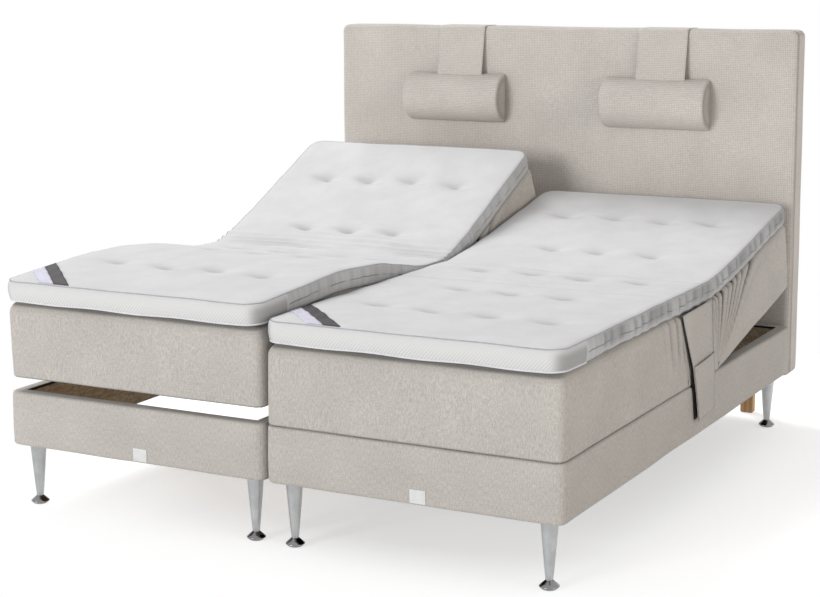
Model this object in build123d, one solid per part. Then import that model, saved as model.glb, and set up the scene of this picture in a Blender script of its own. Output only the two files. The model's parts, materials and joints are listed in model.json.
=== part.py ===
"""Adjustable double bed: two motor-driven upholstered units that share one headboard.

Lengths are in millimetres and angles in degrees. X runs across the bed, +Y towards the
headboard and +Z up. While the bed is drawn, y is measured from the foot end of the units;
the finished bed is then moved so that the origin is the middle of its footprint, on the floor.
"""
from build123d import *
import os
from math import asin, atan2, cos, degrees, hypot, radians, sin, tan

# Units and lower frames
UNIT_WIDTH = 900.0
UNIT_LENGTH = 2000.0
UNIT_GAP = 10.0
LEG_HEIGHT = 190.0
FRAME_HEIGHT = 165.0
RAIL_THICKNESS = 22.0
RAIL_PADDING = 16.0
RAIL_EDGE_PADDING = 5.0
CORNER_RADIUS = 28.0
CORNER_BLOCK = 60.0
SEAM_CLEARANCE = 0.5
CONTACT_GAP = 0.3

# Legs
LEG_INSET_X = 60.0
LEG_INSET_Y = 55.0
LEG_TOP_DIAMETER = 50.0
LEG_FOOT_DIAMETER = 20.0
LEG_STUD_DIAMETER = 10.0
LEG_STUD_LENGTH = 45.0
GLIDE_HEIGHT = 37.0
GLIDE_RIM_DIAMETER = 44.0
GLIDE_SPIGOT_DIAMETER = 8.0
GLIDE_SPIGOT_LENGTH = 18.0
SCREW_CLEARANCE = 0.2

# Upholstered box, topper and where they bend
BOX_HEIGHT = 235.0
BOX_TOP_BEVEL = 12.0
BOX_BOTTOM_BEVEL = 3.6
BOX_HEAD_CLEARANCE = 8.0
TOPPER_THICKNESS = 66.0
TOPPER_OVERHANG_X = 4.0
TOPPER_OVERHANG_Y = 8.0
TOPPER_CORNER_RADIUS = 30.0
TOPPER_EDGE_BEVEL = 7.0
HEAD_HINGE_Y = 1230.0
THIGH_HINGE_Y = 950.0
KNEE_HINGE_Y = 555.0
HEAD_MAX = 60.0
THIGH_MAX = 30.0
KNEE_RATIO = 1.3
HEAD_SEAT_LEAN = 20.0
THIGH_SEAT_LEAN = 10.0
LEAN_MARGIN = 0.5
KNEE_FACE_GAP = 0.6
REST_HEAD = {"left": 25.0, "right": 11.0}
REST_THIGH = {"left": 10.5, "right": 0.0}

# Section panels and hinges
PANEL_THICKNESS = 12.0
PANEL_INSET = 12.0
PANEL_HINGE_GAP = 11.0
EAR_RADIUS = 8.0
EAR_WIDTH = 12.0
FORK_EAR_WIDTH = 6.0
PIN_DIAMETER = 8.0
PIN_CLEARANCE = 0.05
PIN_HEAD_DIAMETER = 12.0
PIN_HEAD_HEIGHT = 2.5
HINGE_SPACING = 660.0
HINGE_CHANNEL_RADIUS = 14.0

# Lift mechanism
BEAM_SIZE = 30.0
BEAM_WALL = 2.0
BEAM_SPACING = 70.0
LIFT_BACK = 55.0
LIFT_DROP = 36.0
TUBE_DIAMETER = 30.0
TUBE_WALL = 3.0
TUBE_LENGTH = 560.0
ARM_SPACING = 400.0
ARM_THICKNESS = 8.0
ARM_BOSS_DIAMETER = 38.0
ARM_CRANK_DIAMETER = 24.0
ARM_CRANK_REACH = 66.0
ARM_TIP_DIAMETER = 26.0
HEAD_ARM_LENGTH = 400.0
HEAD_ARM_CRANK_DROP = 54.0
THIGH_ARM_LENGTH = 230.0
THIGH_ARM_CRANK_DROP = 30.0
ROLLER_DIAMETER = 36.0
ROLLER_WIDTH = 24.0
ROLLER_AXLE_DIAMETER = 10.0
ROLLER_CLEARANCE = 0.6
BRACKET_THICKNESS = 6.0
BRACKET_SPACING = 520.0
BRACKET_EDGE = 12.0
RUNNING_CLEARANCE = 0.1
DRIVE_WIDTH = 130.0
DRIVE_DEPTH = 90.0
DRIVE_END = 34.0
DRIVE_SHELL_RADIUS = 12.0
SOCKET_WIDTH = 28.0
SOCKET_HEIGHT = 18.0
SOCKET_DEPTH = 16.0

# Calf stays
STAY_REACH = 100.0
STAY_DROP = 30.0
STAY_PIVOT_Y = 796.5
STAY_PIVOT_DROP = 39.5
STAY_WIDTH = 24.0
STAY_THICKNESS = 8.0
STAY_PIN_DIAMETER = 10.0
STAY_RAIL_GAP = 18.0
STAY_EYE_CLEARANCE = 2.5
STAY_LUG_THICKNESS = 6.0
STAY_FLANGE = 44.0
STAY_FLANGE_THICKNESS = 4.0

# Headboard
HEADBOARD_WIDTH = 1800.0
HEADBOARD_THICKNESS = 100.0
HEADBOARD_TOP = 1380.0
HEADBOARD_RADIUS = 20.0
HEADBOARD_FRONT_RADIUS = 19.0
HEADBOARD_PADDING = 40.0
HEADBOARD_EDGE_PADDING = 30.0
BATTEN_WIDTH = 45.0
BATTEN_DEPTH = 30.0
BATTEN_TOP = 900.0
BATTEN_OFFSET = 722.0
BOLT_DIAMETER = 8.0
BOLT_HEAD_DIAMETER = 22.0
BOLT_HEAD_HEIGHT = 6.0
BOLT_HOLE_CLEARANCE = 0.3
BOLT_BITE = 35.0
BOLT_SPACING = 500.0

# Neck cushions
CUSHION_WIDTH = 400.0
CUSHION_RADIUS = 88.0
CUSHION_CENTRE_Z = 1106.0
CUSHION_OFFSET = 396.0
CUSHION_EDGE_BEVEL = 9.0
STRAP_WIDTH = 205.0
STRAP_THICKNESS = 2.5
STRAP_STANDOFF = 50.0
STRAP_BACK_DROP = 130.0
WEIGHT_WIDTH = 200.0
WEIGHT_HEIGHT = 60.0
WEIGHT_DEPTH = 18.0
WEIGHT_RADIUS = 7.0

# Handset pockets and trim plates
POCKET_CLOTH = 2.0
POCKET_DEPTH = 20.0
POCKET_TOP_WIDTH = 270.0
POCKET_BAG_WIDTH = 190.0
POCKET_BAG_HEIGHT = 178.0
POCKET_BAG_BOTTOM = 245.0
POCKET_CENTRE_Y = 1000.0
POCKET_BAG_SHIFT = 60.0
PLATE_WIDTH = 48.0
PLATE_HEIGHT = 38.0
PLATE_THICKNESS = 2.0
PLATE_RISE = 6.0
PLATE_SHIFT = 30.0

# Levels and places that follow from the sizes
FRAME_TOP = LEG_HEIGHT + FRAME_HEIGHT
UNDERSIDE_Z = FRAME_TOP + SEAM_CLEARANCE
PIN_Z = UNDERSIDE_Z + EAR_RADIUS
BOX_TOP = FRAME_TOP + BOX_HEIGHT
TOPPER_BOTTOM = BOX_TOP + CONTACT_GAP
TOPPER_TOP = TOPPER_BOTTOM + TOPPER_THICKNESS
BOX_BACK = UNIT_LENGTH - BOX_HEAD_CLEARANCE
FACE_REACH = TOPPER_TOP - PIN_Z + 10.0
RIM = RAIL_THICKNESS + RAIL_PADDING
RAIL_BOTTOM = LEG_HEIGHT + RAIL_EDGE_PADDING
RAIL_TOP = FRAME_TOP - RAIL_EDGE_PADDING
UNIT_CENTRE = {"left": -(UNIT_GAP + UNIT_WIDTH) / 2, "right": (UNIT_GAP + UNIT_WIDTH) / 2}
OUTWARD = {"left": -1, "right": 1}
LEAN_HEAD = HEAD_MAX - HEAD_SEAT_LEAN + LEAN_MARGIN
LEAN_THIGH = THIGH_MAX - THIGH_SEAT_LEAN + LEAN_MARGIN
LIFT_AXIS_Z = PIN_Z - LIFT_DROP
HEAD_LIFT_Y = HEAD_HINGE_Y - LIFT_BACK
THIGH_LIFT_Y = THIGH_HINGE_Y + LIFT_BACK
SEAT_MIDDLE_Y = (HEAD_LIFT_Y + THIGH_LIFT_Y) / 2
HEADBOARD_FRONT = UNIT_LENGTH + CONTACT_GAP
HEADBOARD_BACK = HEADBOARD_FRONT + HEADBOARD_THICKNESS
STAY_PIVOT_Z = PIN_Z - STAY_PIVOT_DROP
SIDES = ("left", "right")

pieces = {}


def keep(name, *shapes):
    """Add the separate solids of some shapes to the named sub-part."""
    for shape in shapes:
        pieces.setdefault(name, []).extend(shape.solids())


def prism(points, low_x, high_x):
    """Extrude a closed (y, z) outline along X."""
    outline = make_face(Polyline(*points, close=True))
    return extrude(Plane.YZ.offset(low_x) * outline, high_x - low_x)


def block(low, high):
    """Give the box between two opposite corners."""
    size = [b - a for a, b in zip(low, high)]
    return Pos(*low) * Box(*size, align=(Align.MIN, Align.MIN, Align.MIN))


def rod(diameter, low_x, high_x, y, z):
    """Give a round bar along X."""
    return Pos(low_x, y, z) * Rot(0, 90, 0) * Cylinder(
        diameter / 2, high_x - low_x, align=(Align.CENTER, Align.CENTER, Align.MIN)
    )


def bar_y(diameter, x, low_y, high_y, z):
    """Give a round bar along Y."""
    return Pos(x, low_y, z) * Rot(-90, 0, 0) * Cylinder(
        diameter / 2, high_y - low_y, align=(Align.CENTER, Align.CENTER, Align.MIN)
    )


def turn(shape, y, z, angle):
    """Turn a shape about the X-wise axis through (y, z)."""
    return Pos(0, y, z) * Rot(angle, 0, 0) * Pos(0, -y, -z) * shape


def turn_point(point, y, z, angle):
    """Turn a (y, z) point about the axis through (y, z)."""
    a = radians(angle)
    dy, dz = point[0] - y, point[1] - z
    return y + dy * cos(a) - dz * sin(a), z + dy * sin(a) + dz * cos(a)


def soft_block(width, low_y, high_y, low_z, high_z, corner, top, bottom):
    """Give a block with round upright corners and bevelled top and bottom edges, on x = 0."""
    body = Pos(0, (low_y + high_y) / 2, low_z) * extrude(
        RectangleRounded(width, high_y - low_y, corner), high_z - low_z
    )
    body = chamfer(body.faces().sort_by(Axis.Z)[-1].edges(), top)
    return chamfer(body.faces().sort_by(Axis.Z)[0].edges(), bottom)


def hull_plate(circles, low_x, thickness):
    """Give a plate across X whose outline wraps circles given as (y, z, radius)."""
    edges = [edge for y, z, radius in circles for edge in (Pos(y, z) * Circle(radius)).edges()]
    return extrude(Plane.YZ.offset(low_x) * make_hull(edges), thickness)


def along_unit(side, shape):
    """Move a shape from x = 0 to the middle of a unit."""
    return Pos(UNIT_CENTRE[side], 0, 0) * shape


# ---------------------------------------------------------------- lower frames
def lower_frame(side):
    """Build one lower frame: four boards, corner blocks and the padded cover."""
    half = UNIT_WIDTH / 2
    out = half - RAIL_PADDING
    inner = half - RIM
    back = UNIT_LENGTH
    boards = [
        block((s * (out + inner) / 2 - RAIL_THICKNESS / 2, RAIL_PADDING, RAIL_BOTTOM),
              (s * (out + inner) / 2 + RAIL_THICKNESS / 2, back - RAIL_PADDING, RAIL_TOP))
        for s in (-1, 1)
    ]
    ends = [
        block((-inner, low, RAIL_BOTTOM), (inner, low + RAIL_THICKNESS, RAIL_TOP))
        for low in (RAIL_PADDING, back - RIM)
    ]
    cover = soft_block(UNIT_WIDTH, 0, back, LEG_HEIGHT, FRAME_TOP, CORNER_RADIUS,
                       BOX_BOTTOM_BEVEL, BOX_BOTTOM_BEVEL)
    cover -= block((-inner, RIM, LEG_HEIGHT - 1), (inner, back - RIM, FRAME_TOP + 1))
    cover -= block((-out, RAIL_PADDING, RAIL_BOTTOM), (out, back - RAIL_PADDING, RAIL_TOP))
    for x in bolt_places():
        hole = bar_y(BOLT_DIAMETER + 2 * BOLT_HOLE_CLEARANCE, x, back - RIM - 1, back + 1, bolt_level())
        ends[1] -= hole
        cover -= hole
    keep("frame_rails", *[along_unit(side, b) for b in boards + ends])
    keep(f"{side}_frame_cover", along_unit(side, cover))


def leg_places(side):
    """List the (x, y) places of one unit's legs."""
    x = UNIT_WIDTH / 2 - LEG_INSET_X
    return [
        (UNIT_CENTRE[side] + s * x, y)
        for s in (-1, 1)
        for y in (LEG_INSET_Y, UNIT_LENGTH - LEG_INSET_Y)
    ]


def legs(side):
    """Build the turned legs, their chrome glides and the blocks that take the studs."""
    top, foot = LEG_TOP_DIAMETER / 2, LEG_FOOT_DIAMETER / 2
    stud, spigot = LEG_STUD_DIAMETER / 2, GLIDE_SPIGOT_DIAMETER / 2
    leg = revolve(Plane.XZ * make_face(Polyline(
        (0, GLIDE_HEIGHT), (foot, GLIDE_HEIGHT), (top, LEG_HEIGHT), (stud, LEG_HEIGHT),
        (stud, LEG_HEIGHT + LEG_STUD_LENGTH), (0, LEG_HEIGHT + LEG_STUD_LENGTH), close=True)), Axis.Z)
    leg -= Pos(0, 0, GLIDE_HEIGHT) * Cylinder(
        spigot + SCREW_CLEARANCE, GLIDE_SPIGOT_LENGTH + 1, align=(Align.CENTER, Align.CENTER, Align.MIN))
    rim = GLIDE_RIM_DIAMETER / 2
    neck = foot - 0.5
    flare = Line((0, 0), (rim - 2, 0)) + Line((rim - 2, 0), (rim, 3)) + Line((rim, 3), (rim, 7))
    flare += Polyline((rim, 7), (neck + 5, 14), (neck + 1, 23), (neck, GLIDE_HEIGHT))
    flare += Line((neck, GLIDE_HEIGHT), (spigot, GLIDE_HEIGHT))
    flare += Line((spigot, GLIDE_HEIGHT), (spigot, GLIDE_HEIGHT + GLIDE_SPIGOT_LENGTH))
    flare += Line((spigot, GLIDE_HEIGHT + GLIDE_SPIGOT_LENGTH), (0, GLIDE_HEIGHT + GLIDE_SPIGOT_LENGTH))
    flare += Line((0, GLIDE_HEIGHT + GLIDE_SPIGOT_LENGTH), (0, 0))
    glide = revolve(Plane.XZ * make_face(flare), Axis.Z)
    for x, y in leg_places(side):
        keep("legs", Pos(x, y, 0) * leg)
        keep("leg_glides", Pos(x, y, 0) * glide)
        across = 1 if x < UNIT_CENTRE[side] else -1
        along = 1 if y < UNIT_LENGTH / 2 else -1
        edge_x = UNIT_CENTRE[side] - across * (UNIT_WIDTH / 2 - RIM)
        edge_y = RIM if along > 0 else UNIT_LENGTH - RIM
        corner = sorted((edge_x, edge_x + across * CORNER_BLOCK)) + sorted((edge_y, edge_y + along * CORNER_BLOCK))
        timber = block((corner[0], corner[2], LEG_HEIGHT), (corner[1], corner[3], RAIL_TOP))
        timber -= Pos(x, y, LEG_HEIGHT - 1) * Cylinder(
            stud + SCREW_CLEARANCE, LEG_STUD_LENGTH + 3, align=(Align.CENTER, Align.CENTER, Align.MIN))
        keep("corner_blocks", timber)


# ---------------------------------------------------------------- sections
def zone(kind):
    """Give the (y, z) outline that holds one section when the unit lies flat."""
    low = UNDERSIDE_Z - 10
    high = PIN_Z + FACE_REACH
    half_gap = KNEE_FACE_GAP / 2

    def leaning(hinge, lean):
        return [(hinge, low), (hinge, PIN_Z), (hinge + FACE_REACH * tan(radians(lean)), high)]

    far = UNIT_LENGTH + FACE_REACH
    if kind == "head":
        return leaning(HEAD_HINGE_Y, LEAN_HEAD) + [(far, high), (far, low)]
    if kind == "seat":
        return leaning(THIGH_HINGE_Y, THIGH_SEAT_LEAN) + leaning(HEAD_HINGE_Y, -HEAD_SEAT_LEAN)[::-1]
    if kind == "thigh":
        return leaning(KNEE_HINGE_Y + half_gap, 0) + leaning(THIGH_HINGE_Y, -LEAN_THIGH)[::-1]
    return [(-FACE_REACH, low), (-FACE_REACH, high)] + leaning(KNEE_HINGE_Y - half_gap, 0)[::-1]


def pose(side, kind, shape):
    """Move a section from the flat position to where the unit rests."""
    thigh = REST_THIGH[side]
    if kind == "head":
        return turn(shape, HEAD_HINGE_Y, PIN_Z, REST_HEAD[side])
    if kind == "calf":
        shape = turn(shape, KNEE_HINGE_Y, PIN_Z, KNEE_RATIO * thigh)
    if kind in ("calf", "thigh"):
        return turn(shape, THIGH_HINGE_Y, PIN_Z, -thigh)
    return shape


def hinge_channel(hinge):
    """Give the round space that is kept free of padding along a hinge line."""
    half = UNIT_WIDTH / 2 + 1
    return rod(2 * HINGE_CHANNEL_RADIUS, -half, half, hinge, PIN_Z)


def hinge_places():
    """List the x places of the hinges of one section joint."""
    return (-HINGE_SPACING / 2, HINGE_SPACING / 2)


def ear(x, width, hinge, direction, bore):
    """Give one hinge ear that reaches from its panel to the pin."""
    reach = hinge + direction * (PANEL_HINGE_GAP + 1)
    low_y, high_y = sorted((hinge, reach))
    shape = rod(2 * EAR_RADIUS, x - width / 2, x + width / 2, hinge, PIN_Z)
    shape += block((x - width / 2, low_y, UNDERSIDE_Z), (x + width / 2, high_y, UNDERSIDE_Z + PANEL_THICKNESS))
    return shape - rod(bore, x - width / 2 - 1, x + width / 2 + 1, hinge, PIN_Z)


def fork(hinge, direction):
    """Give the pairs of outer ears that hold the pins."""
    offset = EAR_WIDTH / 2 + CONTACT_GAP + FORK_EAR_WIDTH / 2
    return [
        ear(x + s * offset, FORK_EAR_WIDTH, hinge, direction, PIN_DIAMETER)
        for x in hinge_places()
        for s in (-1, 1)
    ]


def tongue(hinge, direction):
    """Give the single ears that turn on the pins."""
    return [ear(x, EAR_WIDTH, hinge, direction, PIN_DIAMETER + 2 * PIN_CLEARANCE) for x in hinge_places()]


def panel_outline(kind):
    """Give the low and high y of a section's panel when flat."""
    if kind == "head":
        return HEAD_HINGE_Y + PANEL_HINGE_GAP, BOX_BACK - PANEL_INSET
    if kind == "seat":
        return THIGH_HINGE_Y + PANEL_HINGE_GAP, HEAD_HINGE_Y - PANEL_HINGE_GAP
    if kind == "thigh":
        return KNEE_HINGE_Y + PANEL_HINGE_GAP, THIGH_HINGE_Y - PANEL_HINGE_GAP
    return PANEL_INSET, KNEE_HINGE_Y - PANEL_HINGE_GAP


def panel_blank(kind):
    """Give a section's plain panel when flat."""
    low_y, high_y = panel_outline(kind)
    half = UNIT_WIDTH / 2 - PANEL_INSET
    return block((-half, low_y, UNDERSIDE_Z), (half, high_y, UNDERSIDE_Z + PANEL_THICKNESS))


def stay_lugs():
    """Give the lugs and pins under the calf panel that the stays hold."""
    x = UNIT_WIDTH / 2 - RIM - STAY_RAIL_GAP
    y, z = KNEE_HINGE_Y - STAY_REACH, PIN_Z - STAY_DROP
    lugs = []
    for s in (-1, 1):
        inner = x - STAY_THICKNESS / 2 - CONTACT_GAP - STAY_LUG_THICKNESS
        plate = prism([(y - STAY_WIDTH, UNDERSIDE_Z + 1), (y - STAY_WIDTH / 2, z - STAY_WIDTH / 3),
                       (y + STAY_WIDTH / 2, z - STAY_WIDTH / 3), (y + STAY_WIDTH, UNDERSIDE_Z + 1)],
                      inner, inner + STAY_LUG_THICKNESS)
        plate += rod(STAY_PIN_DIAMETER, inner, x + STAY_THICKNESS / 2 + PIN_HEAD_HEIGHT, y, z)
        lugs.append(plate if s > 0 else mirror(plate, Plane.YZ))
    return lugs


def panel(kind):
    """Build a section's steel panel with its hinge ears, flat."""
    ears = {
        "seat": lambda: fork(THIGH_HINGE_Y, 1) + fork(HEAD_HINGE_Y, -1),
        "head": lambda: tongue(HEAD_HINGE_Y, 1),
        "thigh": lambda: tongue(THIGH_HINGE_Y, -1) + fork(KNEE_HINGE_Y, 1),
        "calf": lambda: tongue(KNEE_HINGE_Y, -1) + stay_lugs(),
    }[kind]()
    shape = panel_blank(kind)
    for piece in ears:
        shape += piece
    return shape


def box_section(kind):
    """Build a section of the upholstered box, flat, round its panel."""
    whole = soft_block(UNIT_WIDTH, 0, BOX_BACK, UNDERSIDE_Z, BOX_TOP, CORNER_RADIUS,
                       BOX_TOP_BEVEL, BOX_BOTTOM_BEVEL)
    half = UNIT_WIDTH / 2 + 1
    shape = whole & prism(zone(kind), -half, half)
    for hinge in (HEAD_HINGE_Y, THIGH_HINGE_Y, KNEE_HINGE_Y):
        shape -= hinge_channel(hinge)
    return shape - panel_blank(kind)


def topper_section(kind):
    """Build a section of the topper, flat."""
    whole = soft_block(UNIT_WIDTH + 2 * TOPPER_OVERHANG_X, -TOPPER_OVERHANG_Y, BOX_BACK, TOPPER_BOTTOM,
                       TOPPER_TOP, TOPPER_CORNER_RADIUS, TOPPER_EDGE_BEVEL, TOPPER_EDGE_BEVEL)
    half = UNIT_WIDTH / 2 + TOPPER_OVERHANG_X + 1
    return whole & prism(zone(kind), -half, half)


def face_line(side, kind, hinge, lean, level, clearance):
    """Give the point at a level of a section's leaning face, at rest, moved clear of it.

    A positive clearance moves the point towards +Y when the unit lies flat.
    """
    rise = level - PIN_Z
    point = (hinge + rise * tan(radians(lean)) + clearance / cos(radians(lean)), level)
    if kind == "head":
        return turn_point(point, HEAD_HINGE_Y, PIN_Z, REST_HEAD[side])
    if kind == "calf":
        point = turn_point(point, KNEE_HINGE_Y, PIN_Z, KNEE_RATIO * REST_THIGH[side])
    if kind in ("calf", "thigh"):
        return turn_point(point, THIGH_HINGE_Y, PIN_Z, -REST_THIGH[side])
    return point


def box_fold(side, low_face, high_face, hinge_point):
    """Build the padding that folds between two faces of the box above a hinge."""
    inset = UNIT_WIDTH / 2 - BOX_BOTTOM_BEVEL
    bottom = PIN_Z + HINGE_CHANNEL_RADIUS
    outline = [
        face_line(side, *low_face, bottom, CONTACT_GAP),
        face_line(side, *low_face, BOX_TOP, CONTACT_GAP),
        face_line(side, *high_face, BOX_TOP, -CONTACT_GAP),
        face_line(side, *high_face, bottom, -CONTACT_GAP),
    ]
    shape = prism(outline, -inset, inset)
    return shape - rod(2 * HINGE_CHANNEL_RADIUS, -inset - 1, inset + 1, *hinge_point)


SEAT_LOW = ("seat", THIGH_HINGE_Y, THIGH_SEAT_LEAN)
SEAT_HIGH = ("seat", HEAD_HINGE_Y, -HEAD_SEAT_LEAN)
HEAD_FACE = ("head", HEAD_HINGE_Y, LEAN_HEAD)
THIGH_FACE = ("thigh", THIGH_HINGE_Y, -LEAN_THIGH)
THIGH_KNEE_FACE = ("thigh", KNEE_HINGE_Y + KNEE_FACE_GAP / 2, 0)
CALF_FACE = ("calf", KNEE_HINGE_Y - KNEE_FACE_GAP / 2, 0)


def topper_waist(side):
    """Build the part of the topper that bends over the seat, between thigh and head."""
    def ring(level, gap):
        low = face_line(side, *THIGH_FACE, level, gap)
        high = face_line(side, *HEAD_FACE, level, -gap)
        return [low, face_line(side, *SEAT_LOW, level, 0), face_line(side, *SEAT_HIGH, level, 0), high]

    bottom, top = ring(TOPPER_BOTTOM + CONTACT_GAP, CONTACT_GAP), ring(TOPPER_TOP, CONTACT_GAP)
    half = UNIT_WIDTH / 2 + TOPPER_OVERHANG_X
    return prism(bottom + top[::-1], -half, half)


def knee_fold(side):
    """Build the box and topper padding that opens above a raised knee."""
    knee = turn_point((KNEE_HINGE_Y, PIN_Z), THIGH_HINGE_Y, PIN_Z, -REST_THIGH[side])
    inset = UNIT_WIDTH / 2 - BOX_BOTTOM_BEVEL
    wide = UNIT_WIDTH / 2 + TOPPER_OVERHANG_X
    level = PIN_Z + 4 * HINGE_CHANNEL_RADIUS
    padding = prism([face_line(side, *CALF_FACE, level, CONTACT_GAP), face_line(side, *CALF_FACE, BOX_TOP, CONTACT_GAP),
                     face_line(side, *THIGH_KNEE_FACE, BOX_TOP, -CONTACT_GAP),
                     face_line(side, *THIGH_KNEE_FACE, level, -CONTACT_GAP)], -inset, inset)
    topper = prism([face_line(side, *CALF_FACE, TOPPER_BOTTOM, CONTACT_GAP),
                    face_line(side, *CALF_FACE, TOPPER_TOP, CONTACT_GAP),
                    face_line(side, *THIGH_KNEE_FACE, TOPPER_TOP, -CONTACT_GAP),
                    face_line(side, *THIGH_KNEE_FACE, TOPPER_BOTTOM, -CONTACT_GAP)], -wide, wide)
    return padding - rod(2 * HINGE_CHANNEL_RADIUS, -wide, wide, *knee), topper


def hinge_pin(x, hinge):
    """Give one headed hinge pin."""
    end = EAR_WIDTH / 2 + CONTACT_GAP + FORK_EAR_WIDTH
    pin = rod(PIN_DIAMETER, x - end - PIN_HEAD_HEIGHT, x + end, hinge, PIN_Z)
    return pin + rod(PIN_HEAD_DIAMETER, x + end, x + end + PIN_HEAD_HEIGHT, hinge, PIN_Z)


def sections(side):
    """Build the four hinged sections of one unit with their padding and pins."""
    for kind in ("head", "seat", "thigh", "calf"):
        keep(f"{side}_{kind}_panel", along_unit(side, pose(side, kind, panel(kind))))
        keep(f"{side}_{kind}_box", along_unit(side, pose(side, kind, box_section(kind))))
        if kind != "seat":
            keep(f"{side}_{kind}_topper", along_unit(side, pose(side, kind, topper_section(kind))))
    keep(f"{side}_seat_folds",
         along_unit(side, box_fold(side, SEAT_HIGH, HEAD_FACE, (HEAD_HINGE_Y, PIN_Z))),
         along_unit(side, box_fold(side, THIGH_FACE, SEAT_LOW, (THIGH_HINGE_Y, PIN_Z))))
    keep(f"{side}_topper_waist", along_unit(side, topper_waist(side)))
    if REST_THIGH[side] > 0:
        keep(f"{side}_knee_fold", *[along_unit(side, shape) for shape in knee_fold(side)])
    for x in hinge_places():
        keep("hinge_pins", along_unit(side, hinge_pin(x, HEAD_HINGE_Y)), along_unit(side, hinge_pin(x, THIGH_HINGE_Y)))
        keep(f"{side}_knee_pins", along_unit(side, pose(side, "thigh", hinge_pin(x, KNEE_HINGE_Y))))


# ---------------------------------------------------------------- lift mechanism
def lift_angle(section_angle, arm):
    """Give the arm angle at which its roller meets the panel raised by section_angle."""
    a = radians(section_angle)
    under = EAR_RADIUS + ROLLER_DIAMETER / 2 + ROLLER_CLEARANCE
    return section_angle + degrees(asin((LIFT_DROP * cos(a) - LIFT_BACK * sin(a) - under) / arm))


def lift_ratio(arm, most):
    """Give the constant ratio of arm angle to section angle over the whole travel."""
    return (lift_angle(most, arm) - lift_angle(0, arm)) / most


def lift(side, name, axis_y, direction, arm, crank_drop, most, rest):
    """Build one torsion tube with its two cranked arms, roller axles and rollers.

    The arms dip below the hinge line so that they pass under it when the section is up.
    """
    half = TUBE_LENGTH / 2
    shape = rod(TUBE_DIAMETER, -half, half, axis_y, LIFT_AXIS_Z)
    tip_y = axis_y + direction * arm
    tip_inner = ARM_SPACING / 2 - ARM_THICKNESS / 2 - ROLLER_WIDTH - 2 * CONTACT_GAP
    rollers = []
    for s in (-1, 1):
        middle = s * ARM_SPACING / 2
        boss = (axis_y, LIFT_AXIS_Z, ARM_BOSS_DIAMETER / 2)
        crank = (axis_y + direction * ARM_CRANK_REACH, LIFT_AXIS_Z - crank_drop, ARM_CRANK_DIAMETER / 2)
        tip = (tip_y, LIFT_AXIS_Z, ARM_TIP_DIAMETER / 2)
        plate = hull_plate([boss, crank], middle - ARM_THICKNESS / 2, ARM_THICKNESS)
        plate += hull_plate([crank, tip], middle - ARM_THICKNESS / 2, ARM_THICKNESS)
        ends = sorted((middle, s * (tip_inner - PIN_HEAD_HEIGHT)))
        shape += plate + rod(ROLLER_AXLE_DIAMETER, ends[0], ends[1], tip_y, LIFT_AXIS_Z)
        low, high = sorted((s * (tip_inner + CONTACT_GAP), s * (tip_inner + CONTACT_GAP + ROLLER_WIDTH)))
        wheel = rod(ROLLER_DIAMETER, low, high, tip_y, LIFT_AXIS_Z)
        rollers.append(wheel - rod(ROLLER_AXLE_DIAMETER + 2 * RUNNING_CLEARANCE, low - 1, high + 1, tip_y, LIFT_AXIS_Z))
    shape -= rod(TUBE_DIAMETER - 2 * TUBE_WALL, -half - 1, half + 1, axis_y, LIFT_AXIS_Z)
    angle = direction * (lift_angle(0, arm) + lift_ratio(arm, most) * rest)
    keep(f"{side}_{name}_lift", along_unit(side, turn(shape, axis_y, LIFT_AXIS_Z, angle)))
    keep(f"{side}_{name}_rollers",
         *[along_unit(side, turn(wheel, axis_y, LIFT_AXIS_Z, angle)) for wheel in rollers])


def cross_beams(side):
    """Build the two beams and the plates that carry the torsion tubes."""
    inner = UNIT_WIDTH / 2 - RIM
    bottom = UNDERSIDE_Z - BEAM_SIZE
    bore = TUBE_DIAMETER + 2 * RUNNING_CLEARANCE
    shape = None
    for y in (SEAT_MIDDLE_Y - BEAM_SPACING / 2, SEAT_MIDDLE_Y + BEAM_SPACING / 2):
        beam = block((-inner, y - BEAM_SIZE / 2, bottom), (inner, y + BEAM_SIZE / 2, UNDERSIDE_Z))
        beam -= block((-inner - 1, y - BEAM_SIZE / 2 + BEAM_WALL, bottom + BEAM_WALL),
                      (inner + 1, y + BEAM_SIZE / 2 - BEAM_WALL, UNDERSIDE_Z - BEAM_WALL))
        shape = beam if shape is None else shape + beam
    reach = TUBE_DIAMETER / 2 + BRACKET_EDGE
    for s in (-1, 1):
        x = s * BRACKET_SPACING / 2
        plate = hull_plate([(THIGH_LIFT_Y, LIFT_AXIS_Z, reach), (HEAD_LIFT_Y, LIFT_AXIS_Z, reach)],
                           x - BRACKET_THICKNESS / 2, BRACKET_THICKNESS)
        plate &= block((x - BRACKET_THICKNESS, THIGH_LIFT_Y - 2 * reach, 0),
                       (x + BRACKET_THICKNESS, HEAD_LIFT_Y + 2 * reach, UNDERSIDE_Z - SEAM_CLEARANCE))
        for y in (THIGH_LIFT_Y, HEAD_LIFT_Y):
            plate -= rod(bore, x - BRACKET_THICKNESS, x + BRACKET_THICKNESS, y, LIFT_AXIS_Z)
        shape += plate
    keep("cross_beams", along_unit(side, shape))


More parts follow.
